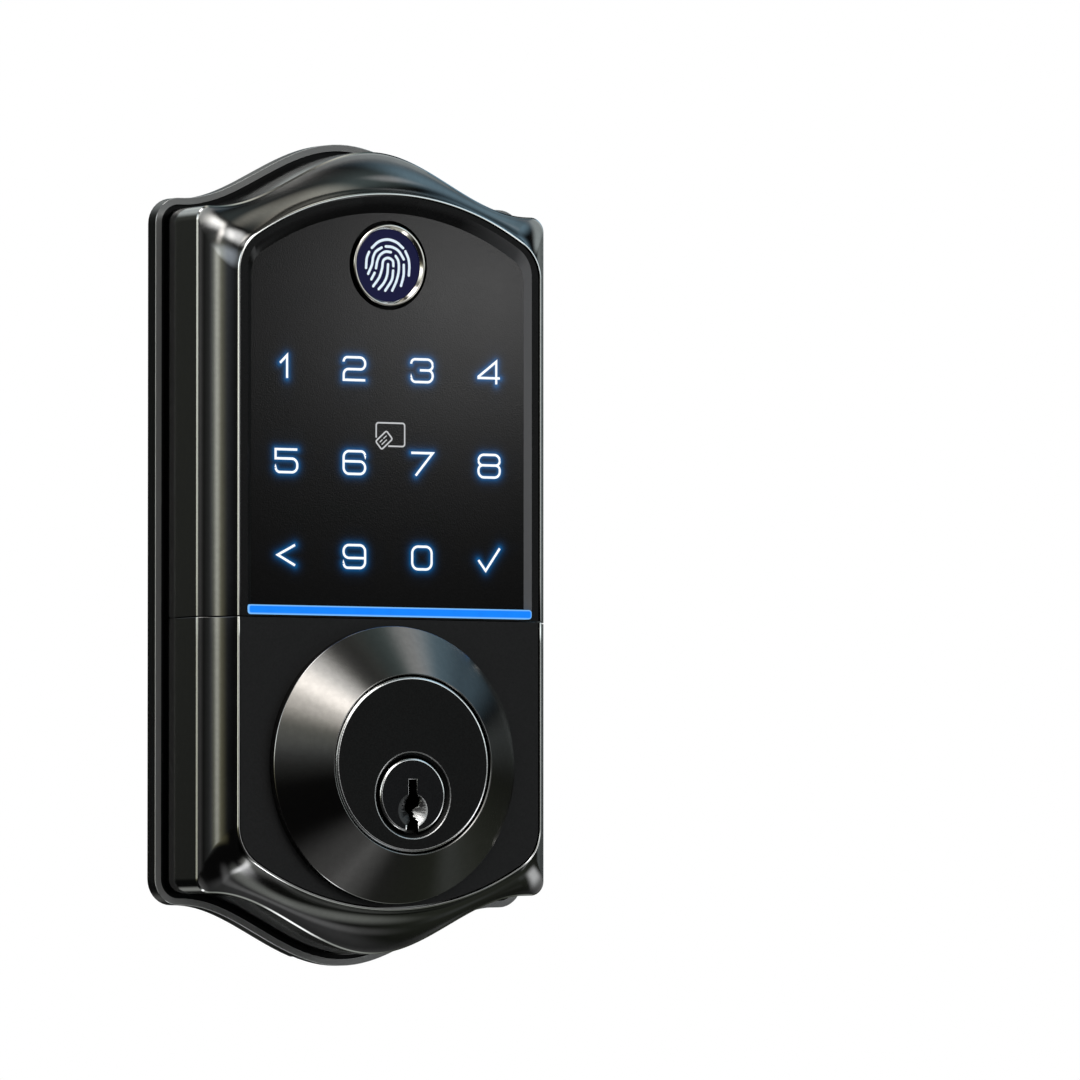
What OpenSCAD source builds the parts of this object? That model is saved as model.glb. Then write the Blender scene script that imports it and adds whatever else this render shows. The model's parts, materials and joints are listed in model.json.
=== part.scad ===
// Keypad smart lock: the outdoor half of a keypad deadbolt. Millimetres.
// X points right, Y points into the door and Z points up.
// The origin is where the key plug's axis meets the door's outside face.
// A depth is measured forward from the door, towards the user, so a depth of d lies at Y = -d.

/* [Housing] */
// Half of the housing's width
body_half_w = 37.6; // [37:0.1:39]
// Height of the housing's middle above the key plug's axis
body_mid_z = 45.9; // [45:0.1:47]
// Height of the flat shoulders above the housing's middle
shoulder_h = 64.2; // [63:0.1:66]
// Rise of the curved crown above the shoulders
crown_h = 11.2; // [10:0.1:12]
// Half of the crown's width, from shoulder to shoulder
crown_run = 34; // [32:0.5:34]
// Radius of the housing's four corners
corner_r = 2.8; // [2.4:0.1:3.4]
// Thickness of the side walls
wall = 1.8; // [1.6:0.1:2]
// Depth of the side wall's front edge, where the cove starts
wall_front = 16.2; // [15.6:0.1:17]
// Depth of the raised rim at the top of the cove
rim_front = 23.4; // [23:0.1:24.4]
// Half of the rim's width
rim_half_w = 32.8; // [32.4:0.1:33.2]
// Height of the rim's arch above the housing's middle
rim_apex = 67.3; // [66.5:0.1:68]
// Radius of the rim's arch
rim_arch_r = 54; // [52:1:60]
// Radius of the rim's corners
rim_corner_r = 8.5; // [7.5:0.5:10]
// Height of the split between the two housings above the key plug's axis
split_z = 33.2; // [33:0.1:33.6]

/* [Back plate] */
// Distance that the back plate stands out round the housing
flange_grow = 2.1; // [1.8:0.1:2.6]
// Thickness of the raised lip
lip_w = 1.25; // [1:0.05:1.4]
// Thickness of the rubber door gasket
gasket_t = 1; // [0.8:0.1:1]
// Depth of the lip's front edge
lip_front = 4; // [3.8:0.1:4.4]
// Radius of the spigot that centres the plate in the door's bore
spigot_r = 26; // [25.5:0.1:26.5]
// Length of the spigot behind the door's face
spigot_len = 7; // [5:0.5:10]

/* [Keypad] */
// Half of the touch panel's visible width
panel_half_w = 29.45; // [29.2:0.05:29.6]
// Depth of the touch panel's front face
panel_front = 22.3; // [22.1:0.1:22.4]
// Distance between key columns
key_pitch_x = 14.6; // [14:0.1:15]
// Distance between key rows
key_pitch_z = 17.6; // [17:0.1:18]
// Height of the bottom key row above the key plug's axis
key_row_z = 44.8; // [44:0.1:45.5]
// Height of the fingerprint sensor above the key plug's axis
finger_z = 99.6; // [99:0.1:100]
// Outside radius of the fingerprint ring
finger_ring_r = 7.7; // [7.4:0.1:7.9]
// Height of the light bar
bar_h = 1.75; // [1.5:0.05:1.8]

/* [Cylinder] */
// Radius of the collar's foot
collar_r = 26; // [25:0.1:26]
// Height of the collar's axis above the key plug's axis
collar_z = 5.8; // [5.6:0.1:5.8]
// Height of the collar's straight foot
collar_foot = 1.7; // [1.4:0.1:2]
// Depth of the collar's front edge
collar_front = 31.8; // [31.4:0.1:33]
// Radius of the round cylinder housing
cylinder_r = 16.5; // [16.4:0.1:16.6]
// Radius of the key plug's head
plug_head_r = 7; // [6.9:0.05:7.1]

/* [Mounting] */
// Distance between the two mounting posts
post_pitch = 38; // [37.6:0.1:38]
// Length of the mounting posts behind the door's face
post_len = 25; // [20:1:30]
// Minor radius of the thread in the mounting posts
post_thread_r = 2.1; // [1.6:0.1:2.2]
// Length of the tailpiece behind the door's face
tail_len = 58; // [40:1:70]

/* [Hidden] */
$fn = 64;
corner_steps = 9;
crown_steps = 24;
cove_steps = 8;
eps = 0.01;
far = 200;

// Small clearances
split_gap = 0.15;
fit_gap = 0.05;
face_gap = 0.2;

// Depths of the plates and boards
plate_back = gasket_t;
plate_front = 3;
ledge_depth = 20.3;
seal_front = 20.8;
face_front = rim_front - face_gap;
panel_t = 1.2;
panel_back = panel_front - panel_t;
guide_t = 0.55;
guide_back = panel_back - guide_t;
board_front = 20;
board_back = 18.4;
main_back = 8;
main_front = 9.6;

// Widths in from the rim's outer edge
rim_land = 0.4;
face_inset = 0.65;
ledge_inset = 3.2;
seal_inset = 0.9;

// Panel opening
panel_apex = rim_apex - 3.8;
panel_arch_r = rim_arch_r - 3.8;
panel_corner_r = 5;
panel_lap = 0.7;
bevel_side = 1.25;
bevel_top = 2.15;
panel_bottom = 35.5 - body_mid_z;
bar_half_w = 30.6;
bar_z = 34.53;
bar_back = seal_front;
bar_end_r = 0.6;
opening_bottom = bar_z - body_mid_z;
board_half_w = 28.6;
led_h = 0.5;
finger_hole_r = finger_ring_r + 0.7;
finger_flange_r = 9.2;
finger_back = panel_back - 0.8;
finger_board_back = 19;
sensor_r = finger_ring_r - 0.95;

// Cylinder and plug
plug_r = 6.4;
plug_head_len = 1.5;
cylinder_front = collar_front - 0.15;
cylinder_back = plate_front;
sleeve_r = 18.5;
groove_r = 8.1;
chamber_r = 1.5;
chamber_top = 17;
pin_r = 1.4;
pin_pitch = 4;
pin_depths = [for (i = [0:4]) 27.5 - pin_pitch * i];
key_pin_lengths = [3.2, 4.4, 3.8, 4.9, 3.5];
driver_len = 4;
driver_bottom = plug_r + 0.15;
spring_r = 1.15;
spring_wire_r = 0.2;
spring_turns = 5;
retainer_r = 8.2;
retainer_back = -4;
retainer_floor = -2.6;
pocket_r = 6.3;
neck_r = 5;
neck_back = 0.5;
lug_inner_r = 4.5;
tail_hub_r = 6;
tail_hub_back = -2.3;
tail_hub_front = 0.3;
tail_w = 7.6;
tail_t = 2;

// Fasteners
screw_r = 1.2;
boss_r = 3.2;
boss_front = 16;
boss_hole_front = 13;
housing_screw_tip = 12;
upper_bosses = [for (x = [-30, 30], z = [48, -4]) [x, body_mid_z + z]];
lower_bosses = [for (x = [-30, 30], z = [-24, -48]) [x, body_mid_z + z]];
board_posts = [for (x = [-21, 21], z = [54, 94]) [x, z]];
port_posts = [[-10, -18], [10, -18]];
cylinder_screw_x = 11.5;
cylinder_screw_r = 1.6;
cylinder_screw_tip = 12;
stud_r = 2.5;
post_r = 3.6;
post_thread_len = 18;
grommet_z = -18;
grommet_r = 3.2;
grommet_flange_r = 4.1;
grommet_bore_r = 1.9;

// Boards and the parts on them
main_board_z = 74;
antenna_z = 67.8;
antenna_w = 42;
antenna_h = 28;
antenna_track = 3;
buzzer_at = [-14, 64];
header_z = 88;
port_board_z = -18.9;
port_board_back = 7.25;
port_board_front = 8.45;

// Emergency power port in the underside
bottom_z = body_mid_z - shoulder_h - crown_h;
port_depth = 10;
port_half_w = 4.45;
flap_half_w = 4.6;
flap_front = 12.4;
hinge_depth = 7.6;
hinge_z = bottom_z + 1.5;
hinge_r = 0.5;
recess_half_w = 4.9;
recess_back = 6;
recess_front = 12.7;
recess_top = bottom_z + 2.3;
pad_top = bottom_z + 4.4;

// ---- Outlines, drawn with the housing's middle at the origin ----

// Height of the crowned edge at a distance x from the centre line, and its slope
function crown_z(x) = shoulder_h + (abs(x) < crown_run ? crown_h * (1 + cos(180 * x / crown_run)) / 2 : 0);
function crown_slope(x) = abs(x) < crown_run ? -crown_h * PI / (2 * crown_run) * sin(180 * x / crown_run) : 0;
function crown_point(x, grow) =
    let (slope = crown_slope(x), step = grow / sqrt(1 + slope * slope))
    [x - slope * step, crown_z(x) + step];

// Upper right quarter of the housing's outline, moved out by grow
function body_quarter(grow) =
    let (
        r = max(corner_r + grow, 0.6),
        corner_x = body_half_w + grow - r,
        corner_z = shoulder_h + grow - r
    )
    concat(
        [for (i = [0:corner_steps])
            let (a = 90 * i / corner_steps)
            [corner_x + r * cos(a), corner_z + r * sin(a)]],
        [for (i = [1:crown_steps]) crown_point(corner_x * (1 - i / crown_steps), grow)]
    );

// Upper right quarter of an arched outline with straight sides and rounded corners
function arch_quarter(half_w, apex, arch_r, r) =
    let (
        arch_z = apex - arch_r,
        corner_x = half_w - r,
        corner_z = arch_z + sqrt(pow(arch_r - r, 2) - corner_x * corner_x),
        tangent = atan2(corner_z - arch_z, corner_x),
        edge_x = arch_r * cos(tangent)
    )
    concat(
        [for (i = [0:corner_steps])
            let (a = tangent * i / corner_steps)
            [corner_x + r * cos(a), corner_z + r * sin(a)]],
        [for (i = [1:crown_steps])
            let (x = edge_x * (1 - i / crown_steps))
            [x, arch_z + sqrt(arch_r * arch_r - x * x)]]
    );

function rim_quarter(inset) =
    arch_quarter(rim_half_w - inset, rim_apex - inset, rim_arch_r - inset, rim_corner_r - inset);

// Closed outline from its upper right quarter
function four_quarters(q) =
    let (n = len(q))
    concat(
        q,
        [for (i = [n - 2:-1:0]) [-q[i][0], q[i][1]]],
        [for (i = [0:n - 1]) [-q[i][0], -q[i][1]]],
        [for (i = [n - 2:-1:0]) [q[i][0], -q[i][1]]]
    );

// Closed outline from its upper right quarter, cut off straight at the height bottom
function arched_top(q, bottom) =
    let (n = len(q), w = q[0][0])
    concat(
        [[w, bottom]],
        q,
        [for (i = [n - 2:-1:0]) [-q[i][0], q[i][1]]],
        [[-w, bottom]]
    );

module body_outline(grow) translate([0, body_mid_z]) polygon(four_quarters(body_quarter(grow)));
module rim_outline(inset) translate([0, body_mid_z]) polygon(four_quarters(rim_quarter(inset)));

module panel_outline(grow_side, grow_top, bottom) {
    q = arch_quarter(
        panel_half_w + grow_side, panel_apex + grow_top,
        panel_arch_r + grow_top, panel_corner_r + grow_side
    );
    translate([0, body_mid_z]) polygon(arched_top(q, bottom));
}

module rounded_rect(w, h, r) {
    square([w - 2 * r, h], center = true);
    square([w, h - 2 * r], center = true);
    for (x = [-1, 1], z = [-1, 1]) translate([x * (w / 2 - r), z * (h / 2 - r)]) circle(r);
}

// ---- Placing ----

// Extrudes an outline in X and Z between two depths
module slab(back, front) translate([0, -back, 0]) rotate([90, 0, 0]) linear_extrude(front - back) children();

// Round bar along the depth, at the point at = [x, z]
module rod(r, back, front, at = [0, 0]) slab(back, front) translate(at) circle(r);

// Cone along the depth
module cone(r_back, r_front, back, front, at = [0, 0])
    translate([at[0], -back, at[1]]) rotate([90, 0, 0]) cylinder(h = front - back, r1 = r_back, r2 = r_front);

// Turned part from a profile of [radius, depth] points, with its axis at height z
module turned(z) translate([0, 0, z]) rotate([90, 0, 0]) rotate_extrude($fn = 128) children();

// Box centred on at = [x, z], between two depths
module block(w, h, back, front, at = [0, 0]) slab(back, front) translate(at) square([w, h], center = true);

// Sector of a ring, from angle a0 to angle a1
module ring_sector(inner_r, outer_r, a0, a1) {
    steps = 8;
    function at_angle(r, i) = let (a = a0 + (a1 - a0) * i / steps) [r * cos(a), r * sin(a)];
    polygon(concat(
        [for (i = [0:steps]) at_angle(outer_r, i)],
        [for (i = [steps:-1:0]) at_angle(inner_r, i)]
    ));
}

// Everything in front of the back plate, above or below the split
module above_split() translate([-far / 2, -far - plate_front, split_z + split_gap / 2]) cube(far);
module below_split() translate([-far / 2, -far - plate_front, split_z - split_gap / 2 - far]) cube(far);

module countersunk_screw(at, head_depth, tip_depth) {
    cone(2.7, screw_r, head_depth, head_depth + 1.5, at);
    rod(screw_r, head_depth, tip_depth, at);
}

module pan_screw(at, r, head_r, seat, head_h, tip) {
    rod(r, min(seat, tip), max(seat, tip), at);
    rod(head_r, min(seat, seat + head_h), max(seat, seat + head_h), at);
}

// ---- Housing ----

// Solid body: straight side walls, then a cove that rises from the crowned outline to the arched rim
module solid_body() {
    outer = four_quarters(body_quarter(0));
    inner = four_quarters(rim_quarter(0));
    n = len(outer);
    ring_points = [
        for (k = [0:cove_steps], i = [0:n - 1])
            let (
                a = 90 * k / cove_steps,
                p = outer[i] + (inner[i] - outer[i]) * sin(a),
                depth = wall_front + (rim_front - wall_front) * (1 - cos(a))
            )
            [p[0], -depth, p[1] + body_mid_z]
    ];
    base_points = [for (p = outer) [p[0], -plate_front + 1, p[1] + body_mid_z]];
    rings = cove_steps + 2;
    polyhedron(
        points = concat(base_points, ring_points),
        faces = concat(
            [for (k = [0:rings - 2], i = [0:n - 1])
                let (j = (i + 1) % n)
                each [
                    [k * n + i, (k + 1) * n + i, (k + 1) * n + j],
                    [k * n + i, (k + 1) * n + j, k * n + j]
                ]],
            [[for (i = [0:n - 1]) i]],
            [[for (i = [n - 1:-1:0]) (rings - 1) * n + i]]
        )
    );
}

// The whole moulded shell, before it is split
module shell() difference() {
    solid_body();
    slab(0, wall_front - wall) body_outline(-wall);
    slab(0, rim_front + 1) rim_outline(ledge_inset);
    slab(ledge_depth, rim_front + 1) rim_outline(rim_land);
}

module bosses(places) for (at = places) rod(boss_r, plate_front, boss_front, at);
module boss_holes(places) for (at = places) rod(screw_r + fit_gap, plate_front - 1, boss_hole_front, at);

module upper_housing() color([0.07, 0.07, 0.075]) difference() {
    union() {
        intersection() {
            shell();
            above_split();
        }
        bosses(upper_bosses);
    }
    boss_holes(upper_bosses);
}

// Thicker patch inside the bottom wall, round the power port
module port_pad() block(15, pad_top - bottom_z - 1.6, 4.5, wall_front - wall + 1,
    [0, (pad_top + bottom_z + 1.6) / 2]);

module port_recess() {
    translate([-recess_half_w, -recess_front, bottom_z - 1])
        cube([2 * recess_half_w, recess_front - recess_back, recess_top - bottom_z + 1]);
    translate([0, -port_depth, recess_top - eps])
        linear_extrude(5) rounded_rect(2 * port_half_w + 0.3, 3.4, 1.2);
    translate([-6, -hinge_depth, hinge_z]) rotate([0, 90, 0]) cylinder(h = 12, r = hinge_r + fit_gap);
}

module lower_housing() color([0.07, 0.07, 0.075]) difference() {
    union() {
        intersection() {
            shell();
            below_split();
        }
        bosses(lower_bosses);
        port_pad();
    }
    boss_holes(lower_bosses);
    port_recess();
}

module back_plate() color([0.09, 0.09, 0.095]) difference() {
    union() {
        slab(plate_back, plate_front) body_outline(flange_grow);
        difference() {
            slab(plate_front - eps, lip_front) body_outline(flange_grow);
            slab(plate_front - 1, lip_front + 1) body_outline(flange_grow - lip_w);
        }
        difference() {
            union() {
                rod(spigot_r - 0.5, -1, plate_back + eps);
                rod(spigot_r, -spigot_len, 0);
            }
            rod(spigot_r - 2.8, -spigot_len - 1, plate_back);
        }
        for (at = board_posts) rod(2.8, plate_front - eps, main_back, at);
        for (at = port_posts) rod(2.4, plate_front - eps, port_board_back, at);
    }
    rod(retainer_r + 0.8, 0, plate_front + 1);
    rod(grommet_r, 0, plate_front + 1, [0, grommet_z]);
    for (x = [-1, 1]) {
        rod(stud_r + fit_gap, 0, plate_front + 1, [x * post_pitch / 2, 0]);
        rod(cylinder_screw_r + 0.2, 0, plate_front + 1, [x * cylinder_screw_x, collar_z]);
    }
    for (at = concat(board_posts, port_posts)) rod(screw_r + fit_gap, 0, far, at);
    for (at = concat(upper_bosses, lower_bosses)) {
        rod(screw_r + 0.2, 0, plate_front + 1, at);
        cone(2.8, screw_r, plate_back - eps, plate_back + 1.6, at);
    }
    translate([-10, -2, bottom_z - flange_grow - 1]) cube([20, 5, 2.7]);
}

module door_gasket() color([0.04, 0.04, 0.04]) difference() {
    slab(0, gasket_t) body_outline(flange_grow - 0.5);
    rod(spigot_r + 0.1, -1, gasket_t + 1);
    translate([-10, -2, bottom_z - flange_grow - 1]) cube([20, 5, 2.7]);
}

// ---- Keypad ----

module keypad_frame() color([0.06, 0.06, 0.06]) difference() {
    intersection() {
        slab(seal_front, face_front) rim_outline(face_inset);
        above_split();
    }
    slab(seal_front - 1, panel_front) panel_outline(panel_lap + 0.1, panel_lap + 0.1, opening_bottom);
    hull() {
        slab(panel_front - 0.05, panel_front) panel_outline(0, 0, opening_bottom);
        slab(face_front, face_front + eps) panel_outline(bevel_side, bevel_top, opening_bottom);
    }
    slab(seal_front - 1, face_front + 1)
        translate([0, bar_z]) rounded_rect(2 * bar_half_w + 0.1, bar_h + 0.1, bar_end_r);
}

module half_seal() difference() {
    slab(ledge_depth, seal_front) rim_outline(seal_inset);
    slab(ledge_depth - 1, seal_front + 1) rim_outline(ledge_inset);
}

module keypad_seal() color([0.03, 0.03, 0.03]) intersection() {
    half_seal();
    above_split();
}

module lower_plate_seal() color([0.03, 0.03, 0.03]) intersection() {
    half_seal();
    below_split();
}

module touch_panel() color([0.12, 0.12, 0.125]) difference() {
    slab(panel_back, panel_front) panel_outline(panel_lap, panel_lap, panel_bottom);
    rod(finger_hole_r, 0, far, [0, finger_z]);
}

module status_light_bar() color([0.03, 0.5, 1])
    slab(bar_back, rim_front) translate([0, bar_z]) rounded_rect(2 * bar_half_w, bar_h, bar_end_r);

module key_light_guide() color([0.9, 0.9, 0.92]) difference() {
    slab(guide_back, panel_back) panel_outline(board_half_w - panel_half_w, 0, panel_bottom + 0.5);
    rod(finger_flange_r + 0.5, 0, far, [0, finger_z]);
}

module touch_board() color([0.02, 0.2, 0.1]) difference() {
    slab(board_back, board_front) panel_outline(board_half_w - panel_half_w, 0, 33.6 - body_mid_z);
    rod(finger_flange_r + 0.8, 0, far, [0, finger_z]);
}

module key_leds() color([0.95, 0.95, 0.8])
    for (row = [0:2], col = [0:3])
        block(2, 1.2, board_front, board_front + led_h,
            [(col - 1.5) * key_pitch_x, key_row_z + row * key_pitch_z]);

module light_bar_leds() color([0.95, 0.95, 0.8])
    for (i = [0:4]) block(2, 1, board_front, board_front + led_h, [(i - 2) * 12, bar_z]);

module touch_controller() color([0.05, 0.05, 0.05]) block(7, 7, board_back - 1, board_back, [0, 46]);

module rfid_antenna() color([0.75, 0.45, 0.2])
    slab(board_back - 0.3, board_back) translate([0, antenna_z]) difference() {
        rounded_rect(antenna_w, antenna_h, 4);
        rounded_rect(antenna_w - 2 * antenna_track, antenna_h - 2 * antenna_track, 1.5);
    }

module fingerprint_ring() color([0.8, 0.8, 0.82]) turned(finger_z) {
    ring_front = panel_front + 0.6;
    polygon([
        [sensor_r + fit_gap, finger_back], [finger_flange_r, finger_back],
        [finger_flange_r, panel_back - 0.05], [finger_ring_r, panel_back - 0.05],
        [finger_ring_r, ring_front - 0.15], [finger_ring_r - 0.15, ring_front],
        [sensor_r + 0.55, ring_front], [sensor_r + fit_gap, ring_front - 0.5]
    ]);
}

module fingerprint_sensor() color([0.08, 0.09, 0.22])
    rod(sensor_r, finger_back, panel_front - 0.1, [0, finger_z]);

module fingerprint_board() color([0.02, 0.2, 0.1])
    rod(finger_flange_r, finger_board_back, finger_back, [0, finger_z]);

// ---- Lower face and cylinder ----

module lower_face_plate() color([0.06, 0.06, 0.06]) difference() {
    intersection() {
        slab(seal_front, face_front) rim_outline(face_inset);
        below_split();
    }
    rod(sleeve_r + 0.1, 0, far, [0, collar_z]);
}

module cylinder_collar() color([0.1, 0.1, 0.105]) turned(collar_z) {
    bore_r = cylinder_r + fit_gap;
    shoulder = face_front + collar_foot;
    polygon([
        [bore_r, 18], [sleeve_r, 18], [sleeve_r, collar_front - 4], [collar_r - 2, shoulder - 0.5],
        [collar_r - 2, face_front], [collar_r, face_front], [collar_r, shoulder],
        [bore_r + 0.5, collar_front], [bore_r, collar_front - 0.1]
    ]);
}

module collar_nut() color([0.6, 0.6, 0.6]) slab(18.2, seal_front) translate([0, collar_z]) difference() {
    circle(22.5);
    circle(sleeve_r + fit_gap);
    for (a = [0:60:300]) rotate(a) translate([22.5, 0]) square([2, 3], center = true);
}

module cylinder_housing() color([0.07, 0.07, 0.07]) difference() {
    rod(cylinder_r, cylinder_back, cylinder_front, [0, collar_z]);
    rod(plug_r + fit_gap, 0, far);
    rod(plug_head_r + fit_gap, cylinder_front - plug_head_len, far);
    cone(plug_head_r, groove_r, cylinder_front - (groove_r - plug_head_r), cylinder_front + eps);
    for (d = pin_depths) translate([0, -d, 0]) cylinder(h = chamber_top + 1, r = chamber_r, $fn = 32);
    translate([-2.1, -29.6, chamber_top]) cube([4.2, 20.2, 10]);
    for (x = [-1, 1])
        rod(cylinder_screw_r + fit_gap, 0, cylinder_screw_tip + 1, [x * cylinder_screw_x, collar_z]);
}

module pin_chamber_cap() color([0.75, 0.6, 0.3])
    translate([-2, -29.5, chamber_top]) cube([4, 20, 1.4]);

// Keyway with its wards, as seen from the front
keyway = [
    [-0.9, 3], [-0.9, -0.5], [-1.3, -0.9], [-1.3, -2.6], [-0.4, -3.4], [-0.4, -4.8], [-1.2, -5.6],
    [-1.2, -7.4], [1.2, -7.4], [1.2, -4.9], [0.5, -4.2], [0.5, -2.7], [1.5, -1.9], [1.5, -0.4],
    [0.9, 0.2], [0.9, 3]
];

module cylinder_plug() color([0.09, 0.09, 0.09]) difference() {
    union() {
        rod(plug_head_r, cylinder_front - plug_head_len + fit_gap, cylinder_front);
        rod(plug_r, cylinder_back, cylinder_front - plug_head_len + 0.1);
        rod(neck_r, neck_back, cylinder_back + eps);
    }
    slab(7, far) polygon(keyway);
    cone(0.6, 3.2, cylinder_front - 1.1, cylinder_front + eps, [0, -2.8]);
    for (d = pin_depths) translate([0, -d, 0.6]) cylinder(h = 10, r = chamber_r, $fn = 32);
}

module key_pins() color([0.8, 0.65, 0.3])
    for (i = [0:4])
        translate([0, -pin_depths[i], plug_r - 0.25 - key_pin_lengths[i]]) {
            cylinder(h = 0.8, r1 = 0.6, r2 = pin_r, $fn = 32);
            translate([0, 0, 0.8 - eps]) cylinder(h = key_pin_lengths[i] - 0.8 + eps, r = pin_r, $fn = 32);
        }

module driver_pins() color([0.75, 0.75, 0.75])
    for (d = pin_depths) translate([0, -d, driver_bottom]) cylinder(h = driver_len, r = pin_r, $fn = 32);

// Coil spring standing on Z, from a ring of points swept along a helix
module coil_spring(r, wire_r, height, turns) {
    sides = 6;
    rings = turns * 10;
    points = [
        for (k = [0:rings], i = [0:sides - 1])
            let (turn = 360 * turns * k / rings, a = 360 * i / sides, reach = r + wire_r * cos(a))
            [reach * cos(turn), reach * sin(turn), height * k / rings + wire_r * sin(a)]
    ];
    polyhedron(
        points = points,
        faces = concat(
            [for (k = [0:rings - 1], i = [0:sides - 1])
                let (j = (i + 1) % sides)
                each [
                    [k * sides + i, (k + 1) * sides + i, (k + 1) * sides + j],
                    [k * sides + i, (k + 1) * sides + j, k * sides + j]
                ]],
            [[for (i = [0:sides - 1]) i]],
            [[for (i = [sides - 1:-1:0]) rings * sides + i]]
        )
    );
}

module pin_springs() color([0.8, 0.8, 0.8]) {
    seat = driver_bottom + driver_len + spring_wire_r;
    for (d = pin_depths)
        translate([0, -d, seat])
            coil_spring(spring_r, spring_wire_r, chamber_top - spring_wire_r - seat, spring_turns);
}

module plug_retainer() color([0.7, 0.55, 0.25]) difference() {
    rod(retainer_r, retainer_back, cylinder_back - 0.1);
    rod(neck_r + fit_gap, neck_back, far);
    slab(retainer_floor, neck_back + eps) difference() {
        circle(pocket_r);
        ring_sector(lug_inner_r, pocket_r + 1, -10, 10);
    }
    rod(lug_inner_r - 0.1, retainer_back - 1, retainer_floor + eps);
}

module tailpiece() color([0.75, 0.75, 0.77]) {
    slab(tail_hub_back, tail_hub_front) difference() {
        circle(tail_hub_r);
        ring_sector(lug_inner_r - 0.2, tail_hub_r + 1, -12, 102);
    }
    block(tail_t, tail_w, -tail_len, tail_hub_back + eps);
}

// ---- Mounting ----

module mounting_posts() color([0.7, 0.7, 0.7])
    for (x = [-1, 1]) {
        at = [x * post_pitch / 2, 0];
        difference() {
            union() {
                rod(post_r, -post_len, plate_back, at);
                rod(stud_r, plate_back - eps, plate_front + eps, at);
                rod(stud_r + 0.4, plate_front, plate_front + 1.2, at);
            }
            rod(post_thread_r, -post_len - 1, -post_len + post_thread_len, at);
        }
    }

module cable_grommet() color([0.05, 0.05, 0.05]) turned(grommet_z) polygon([
    [grommet_bore_r, plate_back - 1], [grommet_flange_r, plate_back - 1],
    [grommet_flange_r, plate_back], [grommet_r, plate_back],
    [grommet_r, plate_front], [grommet_flange_r, plate_front],
    [grommet_flange_r, plate_front + 1], [grommet_bore_r, plate_front + 1]
]);

// ---- Electronics ----

module main_board() color([0.02, 0.2, 0.1]) difference() {
    block(50, 48, main_back, main_front, [0, main_board_z]);
    for (at = board_posts) rod(screw_r + 0.2, 0, far, at);
}

module main_processor() color([0.05, 0.05, 0.05])
    block(9, 9, main_front, main_front + 1, [0, main_board_z + 4]);

module buzzer() color([0.06, 0.06, 0.06]) difference() {
    rod(5, main_front, main_front + 4.5, buzzer_at);
    rod(0.8, main_front + 3, far, buzzer_at);
}

module board_connector() color([0.9, 0.88, 0.8]) difference() {
    block(14, 6, main_front, main_front + 6, [10, 58]);
    block(12.4, 4.4, main_front + 1.2, main_front + 7, [10, 58]);
}

module board_header() color([0.06, 0.06, 0.06]) block(22, 4, main_front, board_back, [0, header_z]);

module port_board() color([0.02, 0.2, 0.1]) difference() {
    block(25, 10, port_board_back, port_board_front, [0, port_board_z]);
    for (at = port_posts) rod(screw_r + 0.2, 0, far, at);
}

module usb_port() color([0.7, 0.7, 0.72]) translate([0, -port_depth, pad_top - 1.6]) {
    difference() {
        linear_extrude(7.3) rounded_rect(8.9, 3.1, 1.2);
        translate([0, 0, -1]) linear_extrude(7.3) rounded_rect(8.3, 2.5, 0.9);
    }
    translate([-3.3, -0.35, 1]) cube([6.6, 0.7, 5.5]);
}

// Flap over the power port; it turns on its own two trunnions
module port_cover() color([0.05, 0.05, 0.05]) {
    intersection() {
        translate([-flap_half_w, -flap_front, bottom_z - 1])
            cube([2 * flap_half_w, flap_front - hinge_depth, recess_top - 0.25 - bottom_z + 1]);
        slab(0, 30) body_outline(-0.1);
    }
    translate([-flap_half_w, -hinge_depth, hinge_z])
        rotate([0, 90, 0]) cylinder(h = 2 * flap_half_w, r = hinge_r + 0.05);
    translate([-5.8, -hinge_depth, hinge_z]) rotate([0, 90, 0]) cylinder(h = 11.6, r = hinge_r);
}

// ---- Fasteners ----

module housing_screws() color([0.6, 0.6, 0.62])
    for (at = concat(upper_bosses, lower_bosses)) countersunk_screw(at, plate_back, housing_screw_tip);

module board_screws() color([0.6, 0.6, 0.62]) {
    for (at = board_posts) pan_screw(at, screw_r, 2.4, main_front, 1.4, 4.2);
    for (at = port_posts) pan_screw(at, screw_r, 2.2, port_board_front, 1.4, 4.2);
}

module cylinder_screws() color([0.6, 0.6, 0.62])
    for (x = [-1, 1])
        pan_screw([x * cylinder_screw_x, collar_z], cylinder_screw_r, 3, plate_back, -1.8, cylinder_screw_tip);

door_gasket();
back_plate();
upper_housing();
lower_housing();
keypad_frame();
keypad_seal();
touch_panel();
status_light_bar();
key_light_guide();
key_leds();
light_bar_leds();
touch_board();
touch_controller();
rfid_antenna();
fingerprint_ring();
fingerprint_sensor();
fingerprint_board();
lower_face_plate();
lower_plate_seal();
cylinder_collar();
collar_nut();
cylinder_housing();
cylinder_plug();
key_pins();
driver_pins();
pin_springs();
pin_chamber_cap();
plug_retainer();
tailpiece();
mounting_posts();
cable_grommet();
main_board();
main_processor();
buzzer();
board_connector();
board_header();
usb_port();
port_board();
port_cover();
housing_screws();
board_screws();
cylinder_screws();
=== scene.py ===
import json
import math

import bmesh
import bpy
import numpy as np
from mathutils import Matrix, Vector
from mathutils.geometry import delaunay_2d_cdt


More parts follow.
